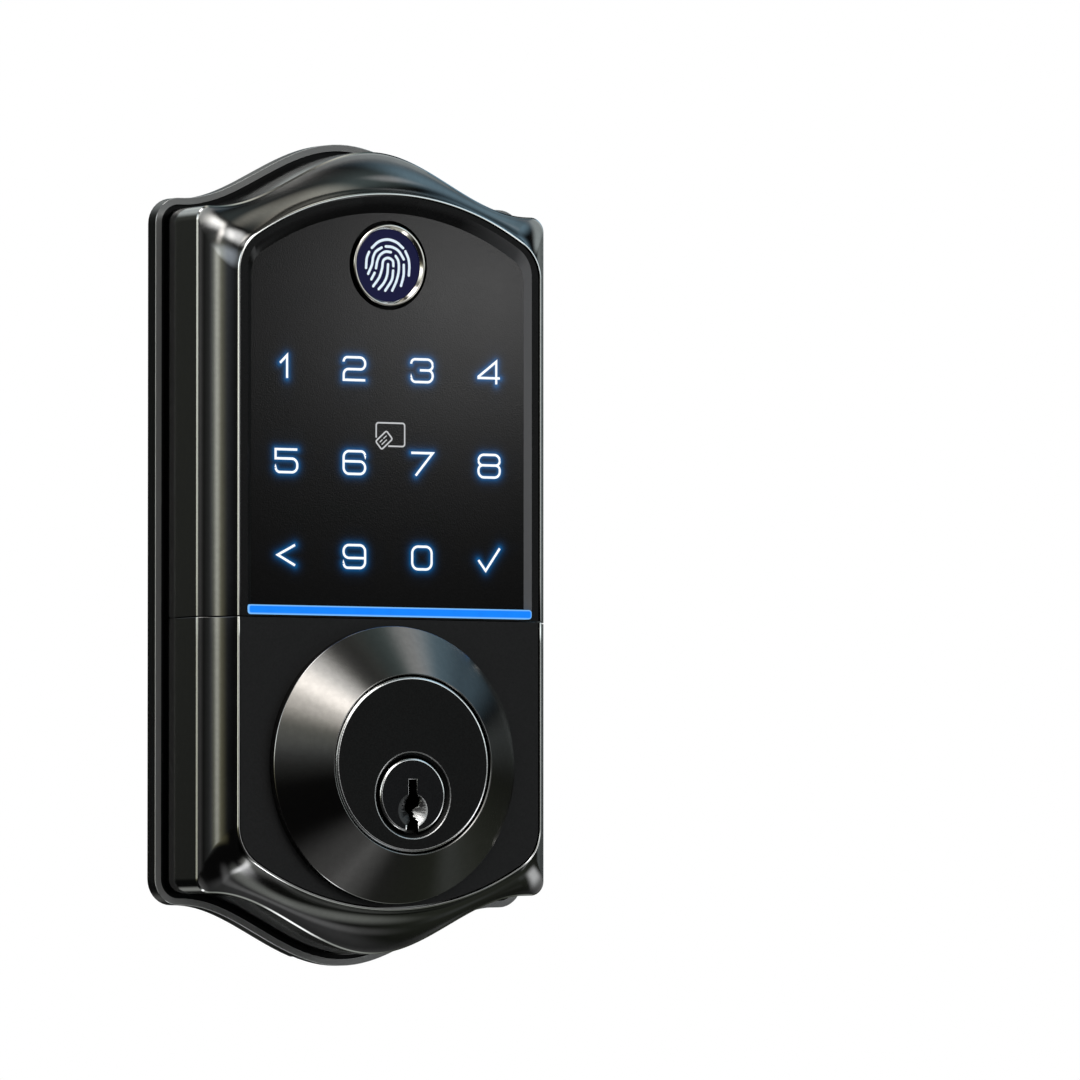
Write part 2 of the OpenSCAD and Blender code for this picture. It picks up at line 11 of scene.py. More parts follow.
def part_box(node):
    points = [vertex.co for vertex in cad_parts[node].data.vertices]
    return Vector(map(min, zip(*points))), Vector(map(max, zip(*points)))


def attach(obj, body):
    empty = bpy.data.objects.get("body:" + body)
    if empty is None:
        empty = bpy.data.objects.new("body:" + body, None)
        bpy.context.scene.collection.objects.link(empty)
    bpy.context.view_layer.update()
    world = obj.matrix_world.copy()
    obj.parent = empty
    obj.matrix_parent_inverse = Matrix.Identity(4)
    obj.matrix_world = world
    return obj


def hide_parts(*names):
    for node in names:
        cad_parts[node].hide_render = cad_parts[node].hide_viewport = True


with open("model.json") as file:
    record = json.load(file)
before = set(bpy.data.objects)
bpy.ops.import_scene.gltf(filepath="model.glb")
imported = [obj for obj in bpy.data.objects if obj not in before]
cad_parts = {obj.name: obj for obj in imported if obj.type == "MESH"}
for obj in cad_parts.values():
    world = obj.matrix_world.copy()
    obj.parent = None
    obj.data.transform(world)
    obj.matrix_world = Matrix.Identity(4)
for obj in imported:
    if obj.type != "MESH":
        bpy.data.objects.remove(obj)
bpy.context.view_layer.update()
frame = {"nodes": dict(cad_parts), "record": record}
NODES = frame["nodes"]
MM = 0.001
DEPSGRAPH = bpy.context.evaluated_depsgraph_get

# ---- Sizes in millimetres, some taken from the imported CAD parts and the rest given ----
# X points right, Z up, and a depth is measured forward from the door, so a depth d lies at Y = -d.


def box_mm(node):
    low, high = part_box(node)
    return low / MM, high / MM


def front_of(node):
    return -box_mm(node)[0].y


UPPER_LOW, UPPER_HIGH = box_mm("upper_housing")
LOWER_LOW, LOWER_HIGH = box_mm("lower_housing")
MID_Z = (UPPER_HIGH.z + LOWER_LOW.z) / 2
HALF_W = UPPER_HIGH.x
RIM_FRONT = -UPPER_LOW.y
PLATE_FRONT = -UPPER_HIGH.y
CROWN_H = 11.2
CROWN_RUN = 34.0
SHOULDER_H = UPPER_HIGH.z - MID_Z - CROWN_H
CORNER_R = 2.8
WALL = 1.8
WALL_FRONT = 16.2
RIM_HALF_W = 32.8
RIM_APEX = 67.3
RIM_ARCH_R = 54.0
RIM_CORNER_R = 8.5
RIM_LAND = 0.4
LEDGE_DEPTH = 20.3
LEDGE_INSET = 3.2
UPPER_END = UPPER_LOW.z - MID_Z
LOWER_END = LOWER_HIGH.z - MID_Z
FACE_FRONT = front_of("keypad_frame")
PANEL_FRONT = front_of("touch_panel")
PANEL_BACK = -box_mm("touch_panel")[1].y
PANEL_HALF_W = 29.45
PANEL_LAP = 0.7
PANEL_APEX = RIM_APEX - 3.8
PANEL_ARCH_R = RIM_ARCH_R - 3.8
PANEL_CORNER_R = 5.0
PANEL_BOTTOM = box_mm("touch_panel")[0].z - MID_Z
BAR_LOW, BAR_HIGH = box_mm("status_light_bar")
FINGER_Z = (box_mm("fingerprint_ring")[0].z + box_mm("fingerprint_ring")[1].z) / 2
SENSOR_FRONT = front_of("fingerprint_sensor")
COLLAR_Z = (box_mm("cylinder_collar")[0].z + box_mm("cylinder_collar")[1].z) / 2
COLLAR_R = box_mm("cylinder_collar")[1].x
COLLAR_FRONT = front_of("cylinder_collar")
CYLINDER_FRONT = front_of("cylinder_housing")
CYLINDER_HOLE_R = 14
FINGER_HOLE_R = 8.4
PLATE_LIP = 4.0
DISH_R = 3.25
DISH_Z = -2.8
SCREW_X = 11.5
KEY_X = [-21.9, -7.3, 7.3, 21.9]
KEY_Z = [80.0, 62.4, 44.8]

# ---- Mesh helpers ----


def place(x, depth, z):
    """A point from millimetres and a depth to metres in the shared frame."""
    return Vector((x * MM, -depth * MM, z * MM))


def finish_mesh(obj, angle=32.0):
    obj.data.polygons.foreach_set("use_smooth", [True] * len(obj.data.polygons))
    obj.data.set_sharp_from_angle(angle=math.radians(angle))
    obj.data.update()


def new_object(name, points, faces):
    mesh = bpy.data.meshes.new(name)
    mesh.from_pydata([tuple(p) for p in points], [], faces)
    mesh.validate()
    obj = bpy.data.objects.new(name, mesh)
    bpy.context.scene.collection.objects.link(obj)
    return obj


def fix_normals(obj, merge=True):
    bm = bmesh.new()
    bm.from_mesh(obj.data)
    if merge:
        bmesh.ops.remove_doubles(bm, verts=bm.verts, dist=1e-7)
    bmesh.ops.recalc_face_normals(bm, faces=bm.faces)
    bm.to_mesh(obj.data)
    bm.free()


def settle(obj):
    """Applies every modifier of an object."""
    evaluated = obj.evaluated_get(DEPSGRAPH())
    mesh = bpy.data.meshes.new_from_object(evaluated)
    obj.modifiers.clear()
    old = obj.data
    obj.data = mesh
    bpy.data.meshes.remove(old)
    obj.data.name = obj.name


def boolean(obj, tool, operation="DIFFERENCE"):
    modifier = obj.modifiers.new("cut", "BOOLEAN")
    modifier.operation = operation
    modifier.object = tool
    modifier.solver = "EXACT"
    settle(obj)
    bpy.data.objects.remove(tool)


def weighted(obj):
    modifier = obj.modifiers.new("normals", "WEIGHTED_NORMAL")
    modifier.keep_sharp = True
    modifier.weight = 60


def rounded(obj, width, segments=2, angle=30.0):
    modifier = obj.modifiers.new("edges", "BEVEL")
    modifier.width = width * MM
    modifier.segments = segments
    modifier.limit_method = "ANGLE"
    modifier.angle_limit = math.radians(angle)
    modifier.harden_normals = False
    settle(obj)
    finish_mesh(obj)
    weighted(obj)


def prism(name, outline, back, front):
    """Closed solid from an outline of [x, z] points, between two depths."""
    n = len(outline)
    points = [place(x, d, z) for d in (back, front) for x, z in outline]
    faces = [[i, (i + 1) % n, n + (i + 1) % n, n + i] for i in range(n)]
    faces += [list(range(n)), list(range(2 * n - 1, n - 1, -1))]
    obj = new_object(name, points, faces)
    fix_normals(obj)
    return obj


def loft(name, rings):
    """Closed solid through rings of [x, z] points, each at its own depth."""
    n = len(rings[0][0])
    points = [place(x, d, z) for outline, d in rings for x, z in outline]
    faces = []
    for k in range(len(rings) - 1):
        for i in range(n):
            j = (i + 1) % n
            faces.append([k * n + i, k * n + j, (k + 1) * n + j, (k + 1) * n + i])
    last = (len(rings) - 1) * n
    faces += [list(range(n)), list(range(last + n - 1, last - 1, -1))]
    obj = new_object(name, points, faces)
    fix_normals(obj)
    return obj


def lathe(name, profile, z, segments=192):
    """Solid turned round the depth axis, from a closed profile of [radius, depth] points."""
    n = len(profile)
    points = []
    for i in range(segments):
        a = 2 * math.pi * i / segments
        points += [place(r * math.cos(a), d, z + r * math.sin(a)) for r, d in profile]
    faces = []
    for i in range(segments):
        j = (i + 1) % segments
        for k in range(n):
            m = (k + 1) % n
            faces.append([i * n + k, i * n + m, j * n + m, j * n + k])
    obj = new_object(name, points, faces)
    fix_normals(obj)
    finish_mesh(obj)
    return obj


def circle(r, x=0.0, z=0.0, steps=128):
    return [[x + r * math.cos(2 * math.pi * i / steps), z + r * math.sin(2 * math.pi * i / steps)]
            for i in range(steps)]


def fillet(points, radii, steps=5):
    """Rounds the corners of a closed profile of [a, b] points."""
    out = []
    n = len(points)
    for i, r in enumerate(radii):
        p = Vector(points[i])
        if r <= 0:
            out.append(list(p))
            continue
        u = (Vector(points[i - 1]) - p).normalized()
        v = (Vector(points[(i + 1) % n]) - p).normalized()
        half = u.angle(v) / 2
        reach = r / math.tan(half)
        centre = p + (u + v).normalized() * (r / math.sin(half))
        start = p + u * reach - centre
        end = p + v * reach - centre
        turn = start.angle_signed(end)
        for k in range(steps + 1):
            q = start.copy()
            q.rotate(Matrix.Rotation(-turn * k / steps, 2))
            out.append(list(centre + q))
    return out


def rounded_rect(w, h, r, x=0.0, z=0.0, steps=8):
    corners = [(w / 2 - r, h / 2 - r, 0), (r - w / 2, h / 2 - r, 90),
               (r - w / 2, r - h / 2, 180), (w / 2 - r, r - h / 2, 270)]
    out = []
    for cx, cz, start in corners:
        for k in range(steps + 1):
            a = math.radians(start + 90 * k / steps)
            out.append([x + cx + r * math.cos(a), z + cz + r * math.sin(a)])
    return out


# ---- Outlines: upper right quarter, from the side to the centre line, about the housing's middle ----

CORNER_STEPS = 18
CROWN_STEPS = 72


def crown_point(x, grow):
    inside = abs(x) < CROWN_RUN
    turn = math.pi * x / CROWN_RUN
    z = SHOULDER_H + (CROWN_H * (1 + math.cos(turn)) / 2 if inside else 0)
    slope = -CROWN_H * math.pi / (2 * CROWN_RUN) * math.sin(turn) if inside else 0
    step = grow / math.sqrt(1 + slope * slope)
    return [x - slope * step, z + step]


def body_quarter(grow):
    r = max(CORNER_R + grow, 0.6)
    cx = HALF_W + grow - r
    cz = SHOULDER_H + grow - r
    out = []
    for i in range(CORNER_STEPS + 1):
        a = math.pi / 2 * i / CORNER_STEPS
        out.append([cx + r * math.cos(a), cz + r * math.sin(a)])
    return out + [crown_point(cx * (1 - i / CROWN_STEPS), grow) for i in range(1, CROWN_STEPS + 1)]


def arch_quarter(half_w, apex, arch_r, r):
    arch_z = apex - arch_r
    cx = half_w - r
    cz = arch_z + math.sqrt((arch_r - r) ** 2 - cx * cx)
    tangent = math.atan2(cz - arch_z, cx)
    edge_x = arch_r * math.cos(tangent)
    out = []
    for i in range(CORNER_STEPS + 1):
        a = tangent * i / CORNER_STEPS
        out.append([cx + r * math.cos(a), cz + r * math.sin(a)])
    for i in range(1, CROWN_STEPS + 1):
        x = edge_x * (1 - i / CROWN_STEPS)
        out.append([x, arch_z + math.sqrt(arch_r * arch_r - x * x)])
    return out


def rim_quarter(inset):
    return arch_quarter(RIM_HALF_W - inset, RIM_APEX - inset, RIM_ARCH_R - inset, RIM_CORNER_R - inset)


def panel_quarter(side, top):
    return arch_quarter(PANEL_HALF_W + side, PANEL_APEX + top, PANEL_ARCH_R + top, PANEL_CORNER_R + side)


def over_top(quarter, end, flip=1, steps=10):
    """Open path from the right side at height end, over the top (or under the bottom) to the left."""
    x, z = quarter[0]
    side = [[x, end + (z * flip - end) * k / steps] for k in range(steps)]
    right = side + [[p[0], p[1] * flip] for p in quarter]
    left = [[-p[0], p[1]] for p in reversed(right[:-1])]
    return right + left


def lifted(path):
    return [[x, z + MID_Z] for x, z in path]


# ---- Nodes of the materials ----


class Tree:
    """Small helper that builds a node tree."""

    def __init__(self, owner):
        owner.use_nodes = True
        self.tree = owner.node_tree
        self.tree.nodes.clear()

    def add(self, kind, inputs=None, **settings):
        made = self.tree.nodes.new(kind)
        for key, value in settings.items():
            setattr(made, key, value)
        for key, value in (inputs or {}).items():
            socket = made.inputs[key]
            if isinstance(value, bpy.types.NodeSocket):
                self.tree.links.new(value, socket)
            else:
                socket.default_value = value
        return made

    def math(self, operation, a, b=0.0):
        return self.add("ShaderNodeMath", {0: a, 1: b}, operation=operation).outputs[0]

    def remap(self, value, low, high, to_low, to_high, smooth=False):
        made = self.add("ShaderNodeMapRange", {0: value, 1: low, 2: high, 3: to_low, 4: to_high})
        made.interpolation_type = "SMOOTHSTEP" if smooth else "LINEAR"
        return made.outputs[0]

    def noise(self, vector, scale, detail):
        made = self.add("ShaderNodeTexNoise", {"Vector": vector, "Scale": scale, "Detail": detail,
                                               "Roughness": 0.5})
        return made.outputs["Fac"]

    def blend(self, factor, a, b):
        made = self.add("ShaderNodeMix", data_type="RGBA")
        for index, value in ((0, factor), (6, a), (7, b)):
            if isinstance(value, bpy.types.NodeSocket):
                self.tree.links.new(value, made.inputs[index])
            else:
                made.inputs[index].default_value = value
        return made.outputs[2]


def shade(rgb, factor=1.0):
    return (rgb[0] * factor, rgb[1] * factor, rgb[2] * factor, 1.0)


# How often the roughness changes, in patches to a metre, and the roughness under a painted edge highlight
PATCH_SCALE = 40.0
EDGE_ROUGHNESS = 0.14


def surface(name, color, metallic=0.0, rough=(0.3, 0.4), grain=800.0, vary=0.15, bump=0.05,
            stretch=(1, 1, 1), emission=None, specular=0.5, edge_color=None):
    """Procedural finish: grain in the colour, slow change in the roughness and a fine bump, with painted
    light mixed into the colour where the part's attribute asks for it.
    """
    mat = bpy.data.materials.new(name)
    t = Tree(mat)
    where = t.add("ShaderNodeTexCoord").outputs["Object"]
    stretched = t.add("ShaderNodeMapping", {"Vector": where, "Scale": stretch}).outputs[0]
    fine = t.noise(stretched, grain, 2.0)
    slow = t.noise(where, PATCH_SCALE, 3.0)
    mixed = t.remap(fine, 0.3, 0.7, 0.0, 1.0)
    base = t.blend(mixed, shade(color, 1 - vary), shade(color, 1 + vary))
    # Painted light: the part's attribute pulls the colour towards a given colour, giving painted highlights
    # on edges and lit faces and painted shade where a part sits in shadow
    if edge_color:
        edge = t.add("ShaderNodeAttribute", attribute_name="edge").outputs["Fac"]
        base = t.blend(edge, base, shade(edge_color))
    roughness = t.remap(slow, 0.3, 0.7, rough[0], rough[1])
    if edge_color:
        polish = min(1.0, EDGE_ROUGHNESS / rough[0])
        roughness = t.math("MULTIPLY", roughness, t.remap(edge, 0.0, 1.0, 1.0, polish))
    height = t.noise(stretched, grain, 2.0)
    bumped = t.add("ShaderNodeBump", {"Height": height, "Strength": bump, "Distance": 0.0001})
    shader = t.add("ShaderNodeBsdfPrincipled", {
        "Base Color": base, "Metallic": metallic, "Roughness": roughness,
        "Normal": bumped.outputs[0], "Specular IOR Level": specular})
    if emission:
        shader.inputs["Emission Color"].default_value = shade(emission[0])
        shader.inputs["Emission Strength"].default_value = emission[1]
    t.add("ShaderNodeOutputMaterial", {"Surface": shader.outputs[0]})
    return mat


# The last colour of a metal or of the frame is painted light: pale for painted edge highlights and painted
# sheen, near black on the ring for painted shade
MATERIALS = {
    "shell_metal": surface("shell_metal", (0.206, 0.205, 0.203), 1.0, (0.1, 0.14), 900, 0.04, 0.02,
                           edge_color=(0.85, 0.85, 0.84)),
    "collar_metal": surface("collar_metal", (0.208, 0.203, 0.196), 1.0, (0.12, 0.15), 900, 0.05, 0.03,
                            edge_color=(0.6, 0.6, 0.6)),
    "plate_metal": surface("plate_metal", (0.01, 0.01, 0.0103), 0.6, (0.26, 0.3), 1500, 0.08, 0.06,
                           specular=0.1, edge_color=(0.6, 0.6, 0.6)),
    "matte_black": surface("matte_black", (0.008, 0.008, 0.0085), 0.0, (0.42, 0.5), 3000, 0.2, 0.12,
                           specular=0.15),
    "frame_gloss": surface("frame_gloss", (0.004, 0.004, 0.0042), 0.0, (0.14, 0.2), 2000, 0.1, 0.04,
                           specular=0.15, edge_color=(0.09, 0.09, 0.095)),
    "cylinder_metal": surface("cylinder_metal", (0.016, 0.016, 0.016), 1.0, (0.45, 0.52), 3500, 0.2, 0.15,
                              edge_color=(0.95, 0.95, 0.95)),
    "plug_metal": surface("plug_metal", (0.016, 0.016, 0.017), 1.0, (0.4, 0.46), 3500, 0.2, 0.12,
                          edge_color=(0.95, 0.95, 0.95)),
    "ring_metal": surface("ring_metal", (0.78, 0.74, 0.68), 1.0, (0.08, 0.12), 900, 0.03, 0.01,
                          edge_color=(0.006, 0.006, 0.006)),
    "sensor_face": surface("sensor_face", (0.002, 0.002, 0.008), 0.0, (0.16, 0.22), 2500, 0.1, 0.02,
                           emission=((0.02, 0.0225, 0.1), 0.36), specular=0.08),
    "diffuser": surface("diffuser", (0.8, 0.8, 0.82), 0.0, (0.4, 0.5), 1500, 0.04, 0.02),
    "led": surface("led", (0.9, 0.9, 0.75), 0.0, (0.3, 0.4), 2500, 0.05, 0.02),
    "circuit_board": surface("circuit_board", (0.012, 0.13, 0.06), 0.0, (0.3, 0.4), 1200, 0.25, 0.1),
    "chip": surface("chip", (0.02, 0.02, 0.02), 0.0, (0.5, 0.6), 3500, 0.2, 0.15),
    "copper": surface("copper", (0.7, 0.38, 0.2), 1.0, (0.25, 0.35), 2500, 0.1, 0.05),
    "steel": surface("steel", (0.56, 0.56, 0.58), 1.0, (0.28, 0.38), 1400, 0.08, 0.08,
                     stretch=(1, 0.15, 1)),
    "brass": surface("brass", (0.68, 0.5, 0.24), 1.0, (0.26, 0.34), 1400, 0.08, 0.06),
    "connector": surface("connector", (0.75, 0.72, 0.62), 0.0, (0.4, 0.5), 1800, 0.05, 0.05),
    "rubber": surface("rubber", (0.012, 0.012, 0.012), 0.0, (0.6, 0.72), 2500, 0.25, 0.2),
    "panel": surface("panel", (0.001, 0.001, 0.001), 0.0, (0.3, 0.33), 4000, 0.5, 0.3, specular=0.03),
}


def lit_material(name, color, strength, rim=None):
    """Light that comes out evenly from a moulded guide, a little paler at its edges."""
    mat = bpy.data.materials.new(name)
    t = Tree(mat)
    where = t.add("ShaderNodeTexCoord").outputs["Object"]
    fine = t.noise(where, 500.0, 2.0)
    inner = t.blend(t.remap(fine, 0.3, 0.7, 0, 1), shade(color, 0.96), shade(color, 1.04))
    if rim:
        edge = t.add("ShaderNodeAttribute", attribute_name="edge").outputs["Fac"]
        inner = t.blend(edge, inner, shade(rim))
    shader = t.add("ShaderNodeBsdfPrincipled", {
        "Base Color": shade((0.005, 0.005, 0.005)), "Roughness": 0.5, "Specular IOR Level": 0.1,
        "Emission Color": inner, "Emission Strength": strength})
    t.add("ShaderNodeOutputMaterial", {"Surface": shader.outputs[0]})
    return mat


def add_glow(mat):
    """Adds the soft blue light that spreads under the panel round the lit keys."""
    t = Tree.__new__(Tree)
    t.tree = mat.node_tree
    shader = next(n for n in t.tree.nodes if n.type == "BSDF_PRINCIPLED")
    glow = t.add("ShaderNodeAttribute", attribute_name="glow").outputs["Fac"]
    shader.inputs["Emission Color"].default_value = shade((0.0, 0.095, 0.29))
    t.tree.links.new(glow, shader.inputs["Emission Strength"])


add_glow(MATERIALS["panel"])
MATERIALS["light_bar"] = lit_material("light_bar", (0.002, 0.23, 1.0), 1.0, (0.2, 0.52, 1.0))
MATERIALS["key_print"] = lit_material("key_print", (0.93, 0.98, 1.0), 1.1)
MATERIALS["icon_print"] = lit_material("icon_print", (0.75, 0.76, 0.78), 0.75)
MATERIALS["finger_print"] = lit_material("finger_print", (0.78, 0.9, 1.0), 0.95)

# ---- Pieces ----


def paint(obj, material):
    obj.data.materials.clear()
    obj.data.materials.append(MATERIALS[material])


def piece(obj, slot, replaces=(), body="lock_body", material=None):
    """A finished piece: its material, the body it rides on and the CAD nodes it stands for."""
    paint(obj, material or slot)
    if replaces:
        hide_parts(*replaces)
    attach(obj, body)
    return obj


def near(value, target, tolerance=0.02):
    return abs(value - target) < tolerance


def refined(node, slot, rules, name=None, body="lock_body", material=None, cuts=(), polished=None,
            clamp=True):
    """Copy of a CAD node with merged flats and with chosen edges rounded.
    Each rule is (test of an edge's two points and its angle in degrees, width in mm, segments,
    share of painted edge highlight). A sheen function adds painted highlight to chosen faces."""
    obj = bpy.data.objects.new(name or node + "_visual", NODES[node].data.copy())
    bpy.context.scene.collection.objects.link(obj)
    bm = bmesh.new()
    bm.from_mesh(obj.data)
    bmesh.ops.remove_doubles(bm, verts=bm.verts, dist=2e-6)
    bmesh.ops.dissolve_limit(bm, angle_limit=math.radians(0.6), verts=bm.verts, edges=bm.edges)
    bmesh.ops.recalc_face_normals(bm, faces=bm.faces)
    # Painted highlight: the share given to the rounded faces and to the faces picked by the sheen function
    painted_highlight = bm.faces.layers.float.new("edge")
    for test, width, segments, *share in rules:
        chosen = []
        for e in bm.edges:
            if len(e.link_faces) != 2:
                continue
            a = e.verts[0].co / MM
            b = e.verts[1].co / MM
            angle = math.degrees(e.calc_face_angle(0.0))
            if angle > 25 and test(a, b, angle):
                chosen.append(e)
        made = bmesh.ops.bevel(bm, geom=chosen, offset=width * MM, segments=segments, profile=0.5,
                               affect="EDGES", clamp_overlap=clamp, offset_type="OFFSET")
        for f in made["faces"]:
            f[painted_highlight] = share[0] if share else 0.0
    for f in bm.faces:
        middle = f.calc_center_median() / MM
        if polished:
            f[painted_highlight] = max(f[painted_highlight], polished(middle, f.normal))
    bm.to_mesh(obj.data)
    bm.free()
    for cut in cuts:
        boolean(obj, cut)
    finish_mesh(obj)
    weighted(obj)
    return piece(obj, slot, [node], body, material)


# The housing: one profile swept from one side of the split over the top to the other.
# Each station of the profile is an outline and a depth.

REAR_EDGE_R = 0.5
CHAMFER_SIDE = 0.3
CHAMFER_DEPTH = 0.34
RIM_SIDE = 0.16
RIM_DEPTH = 0.2
COVE_STEPS = 24


def housing_stations():
    """The profile as (outline, depth, share of painted edge highlight)."""
    outer = body_quarter(0)
    inner = rim_quarter(0)
    stations = []
    for k in range(6):
        a = math.pi / 2 * k / 5
        stations.append((body_quarter(-REAR_EDGE_R * (1 - math.sin(a))),
                         PLATE_FRONT + REAR_EDGE_R * (1 - math.cos(a)), 0))
    # The chamfer at the front of the wall carries a painted highlight
    for share, edge in ((-0.12, 0), (0.04, 0.2), (0.16, 0.45), (0.84, 0.45), (0.96, 0.2)):
        pull = max(share, 0)
        stations.append((body_quarter(-CHAMFER_SIDE * pull - (0.012 if 0.01 < share < 0.1 else 0)),
                         WALL_FRONT - CHAMFER_DEPTH * (1 - share), edge))
    first = math.asin(CHAMFER_SIDE * 1.25 / (HALF_W - RIM_HALF_W))
    for k in range(COVE_STEPS):
        a = first + (math.radians(88) - first) * k / COVE_STEPS
        s = math.sin(a)
        mixed = [[o[0] + (i[0] - o[0]) * s, o[1] + (i[1] - o[1]) * s] for o, i in zip(outer, inner)]
        stations.append((mixed, WALL_FRONT + (RIM_FRONT - WALL_FRONT) * (1 - math.cos(a)), 0))
    # The rim's edge and the front of its land carry a painted highlight
    for share, edge in ((-0.2, 0), (0.1, 1), (0.9, 1)):
        stations.append((rim_quarter(RIM_SIDE * max(share, 0)), RIM_FRONT - RIM_DEPTH * (1 - share), edge))
    stations.append((rim_quarter(RIM_SIDE + 0.05), RIM_FRONT, 1))
    stations.append((rim_quarter(RIM_LAND - 0.06), RIM_FRONT, 1))
    stations.append((rim_quarter(RIM_LAND), RIM_FRONT - 0.06, 0.6))
    stations.append((rim_quarter(RIM_LAND), LEDGE_DEPTH, 0))
    stations.append((rim_quarter(LEDGE_INSET), LEDGE_DEPTH, 0))
    stations.append((rim_quarter(LEDGE_INSET), WALL_FRONT - WALL, 0))
    stations.append((body_quarter(-WALL), WALL_FRONT - WALL, 0))
    stations.append((body_quarter(-WALL), PLATE_FRONT, 0))
    return stations


def housing(name, end, flip):
    stations = housing_stations()
    paths = [lifted(over_top(station[0], end, flip)) for station in stations]
    depths = [station[1] for station in stations]
    n = len(paths[0])
    count = len(stations)
    points = [place(x, d, z) for path, d in zip(paths, depths) for x, z in path]
    faces = []
    for k in range(count):
        m = (k + 1) % count
        for i in range(n - 1):
            faces.append([k * n + i, k * n + i + 1, m * n + i + 1, m * n + i])
    faces.append([k * n for k in range(count)])
    faces.append([k * n + n - 1 for k in reversed(range(count))])
    obj = new_object(name, points, faces)
    fix_normals(obj)
    # Painted edge highlight: each station's share goes to its ring of points
    painted_highlight = obj.data.attributes.new("edge", "FLOAT", "POINT")
    painted_highlight.data.foreach_set("value", [station[2] for station in stations for _ in range(n)])
    weights = obj.data.attributes.new("bevel_weight_edge", "FLOAT", "EDGE")
    level = (end + MID_Z) * MM
    at_end = [all(abs(obj.data.vertices[v].co.z - level) < 1e-7 for v in e.vertices) for e in obj.data.edges]
    weights.data.foreach_set("value", [1.0 if x else 0.0 for x in at_end])
    bevel = obj.modifiers.new("seam", "BEVEL")
    bevel.limit_method = "WEIGHT"
    bevel.width = 0.13 * MM
    bevel.segments = 2
    settle(obj)
    return obj


upper = housing("upper_housing_visual", UPPER_END, 1)
finish_mesh(upper, 38)
weighted(upper)
piece(upper, "shell_metal", ["upper_housing"])

BOTTOM_Z = LOWER_LOW.z
RECESS_HALF_W = 4.9
RECESS_BACK = 6.0
RECESS_FRONT = 12.7
RECESS_TOP = BOTTOM_Z + 2.3
PORT_DEPTH = 10.0
HINGE_DEPTH = 7.6
HINGE_Z = BOTTOM_Z + 1.5


def bar_x(name, r, half, depth, z, steps=32):
    points = []
    for x in (-half, half):
        for i in range(steps):
            a = 2 * math.pi * i / steps
            points.append(place(x, depth + r * math.cos(a), z + r * math.sin(a)))
    faces = [[i, (i + 1) % steps, steps + (i + 1) % steps, steps + i] for i in range(steps)]
    faces += [list(range(steps)), list(range(2 * steps - 1, steps - 1, -1))]
    obj = new_object(name, points, faces)
    fix_normals(obj)
    return obj


def rise(name, outline, low, high):
    """Closed solid from an outline of [x, depth] points, between two heights."""
    n = len(outline)
    points = [place(x, d, z) for z in (low, high) for x, d in outline]
    faces = [[i, (i + 1) % n, n + (i + 1) % n, n + i] for i in range(n)]
    faces += [list(range(n)), list(range(2 * n - 1, n - 1, -1))]
    obj = new_object(name, points, faces)
    fix_normals(obj)
    return obj


lower = housing("lower_housing_visual", LOWER_END, -1)
pad = prism("pad", [[-7.5, BOTTOM_Z + 1.6], [7.5, BOTTOM_Z + 1.6], [7.5, BOTTOM_Z + 4.4],
                    [-7.5, BOTTOM_Z + 4.4]], 4.5, WALL_FRONT - WALL + 1)
boolean(lower, pad, "UNION")
boolean(lower, prism("recess", [[-RECESS_HALF_W, BOTTOM_Z - 2], [RECESS_HALF_W, BOTTOM_Z - 2],
                                [RECESS_HALF_W, RECESS_TOP], [-RECESS_HALF_W, RECESS_TOP]],
                     RECESS_BACK, RECESS_FRONT))
boolean(lower, rise("slot", rounded_rect(9.2, 3.4, 1.2, 0, PORT_DEPTH), RECESS_TOP - 0.5, RECESS_TOP + 5))
boolean(lower, bar_x("bore", 0.55, 6, HINGE_DEPTH, HINGE_Z))
finish_mesh(lower, 38)
weighted(lower)
piece(lower, "shell_metal", ["lower_housing"])

# The back plate's lip: the outer edge is rounded more than the inner one. The rounded outer edge carries a
# painted highlight, and the lip's front face a painted sheen.
refined("back_plate", "plate_metal", [
    (lambda a, b, angle: near(-a.y, PLATE_LIP) and near(-b.y, PLATE_LIP) and (
        abs(a.x) > HALF_W + 1.6 or abs(a.z - MID_Z) > SHOULDER_H + 1.4), 0.3, 3, 1.0),
], polished=lambda p, n: 0.32 if n.y < -0.9 and near(-p.y, PLATE_LIP) else 0)

# The keypad frame and the lower plate
frame_outline = lifted(over_top(rim_quarter(0.65), UPPER_END))
bezel = prism("keypad_frame_visual", frame_outline, 20.8, FACE_FRONT)
opening_end = BAR_LOW.z / 2 + BAR_HIGH.z / 2 - MID_Z
boolean(bezel, loft("opening", [
    (lifted(over_top(panel_quarter(PANEL_LAP + 0.1, PANEL_LAP + 0.1), opening_end)), 20.0),
    (lifted(over_top(panel_quarter(PANEL_LAP + 0.1, PANEL_LAP + 0.1), opening_end)), PANEL_FRONT + 0.0)]))
boolean(bezel, loft("chamfer", [
    (lifted(over_top(panel_quarter(0, 0), opening_end)), PANEL_FRONT - 0.3),
    (lifted(over_top(panel_quarter(0, 0), opening_end)), PANEL_FRONT),
    (lifted(over_top(panel_quarter(1.25, 2.15), opening_end)), FACE_FRONT),
    (lifted(over_top(panel_quarter(1.25, 2.15), opening_end)), FACE_FRONT + 0.5)]))
boolean(bezel, prism("slot", rounded_rect(BAR_HIGH.x * 2 + 0.1, BAR_HIGH.z - BAR_LOW.z + 0.1, 0.6, 0,
                                          opening_end + MID_Z), 20.0, FACE_FRONT + 1))
rounded(bezel, 0.1, 2, 25)
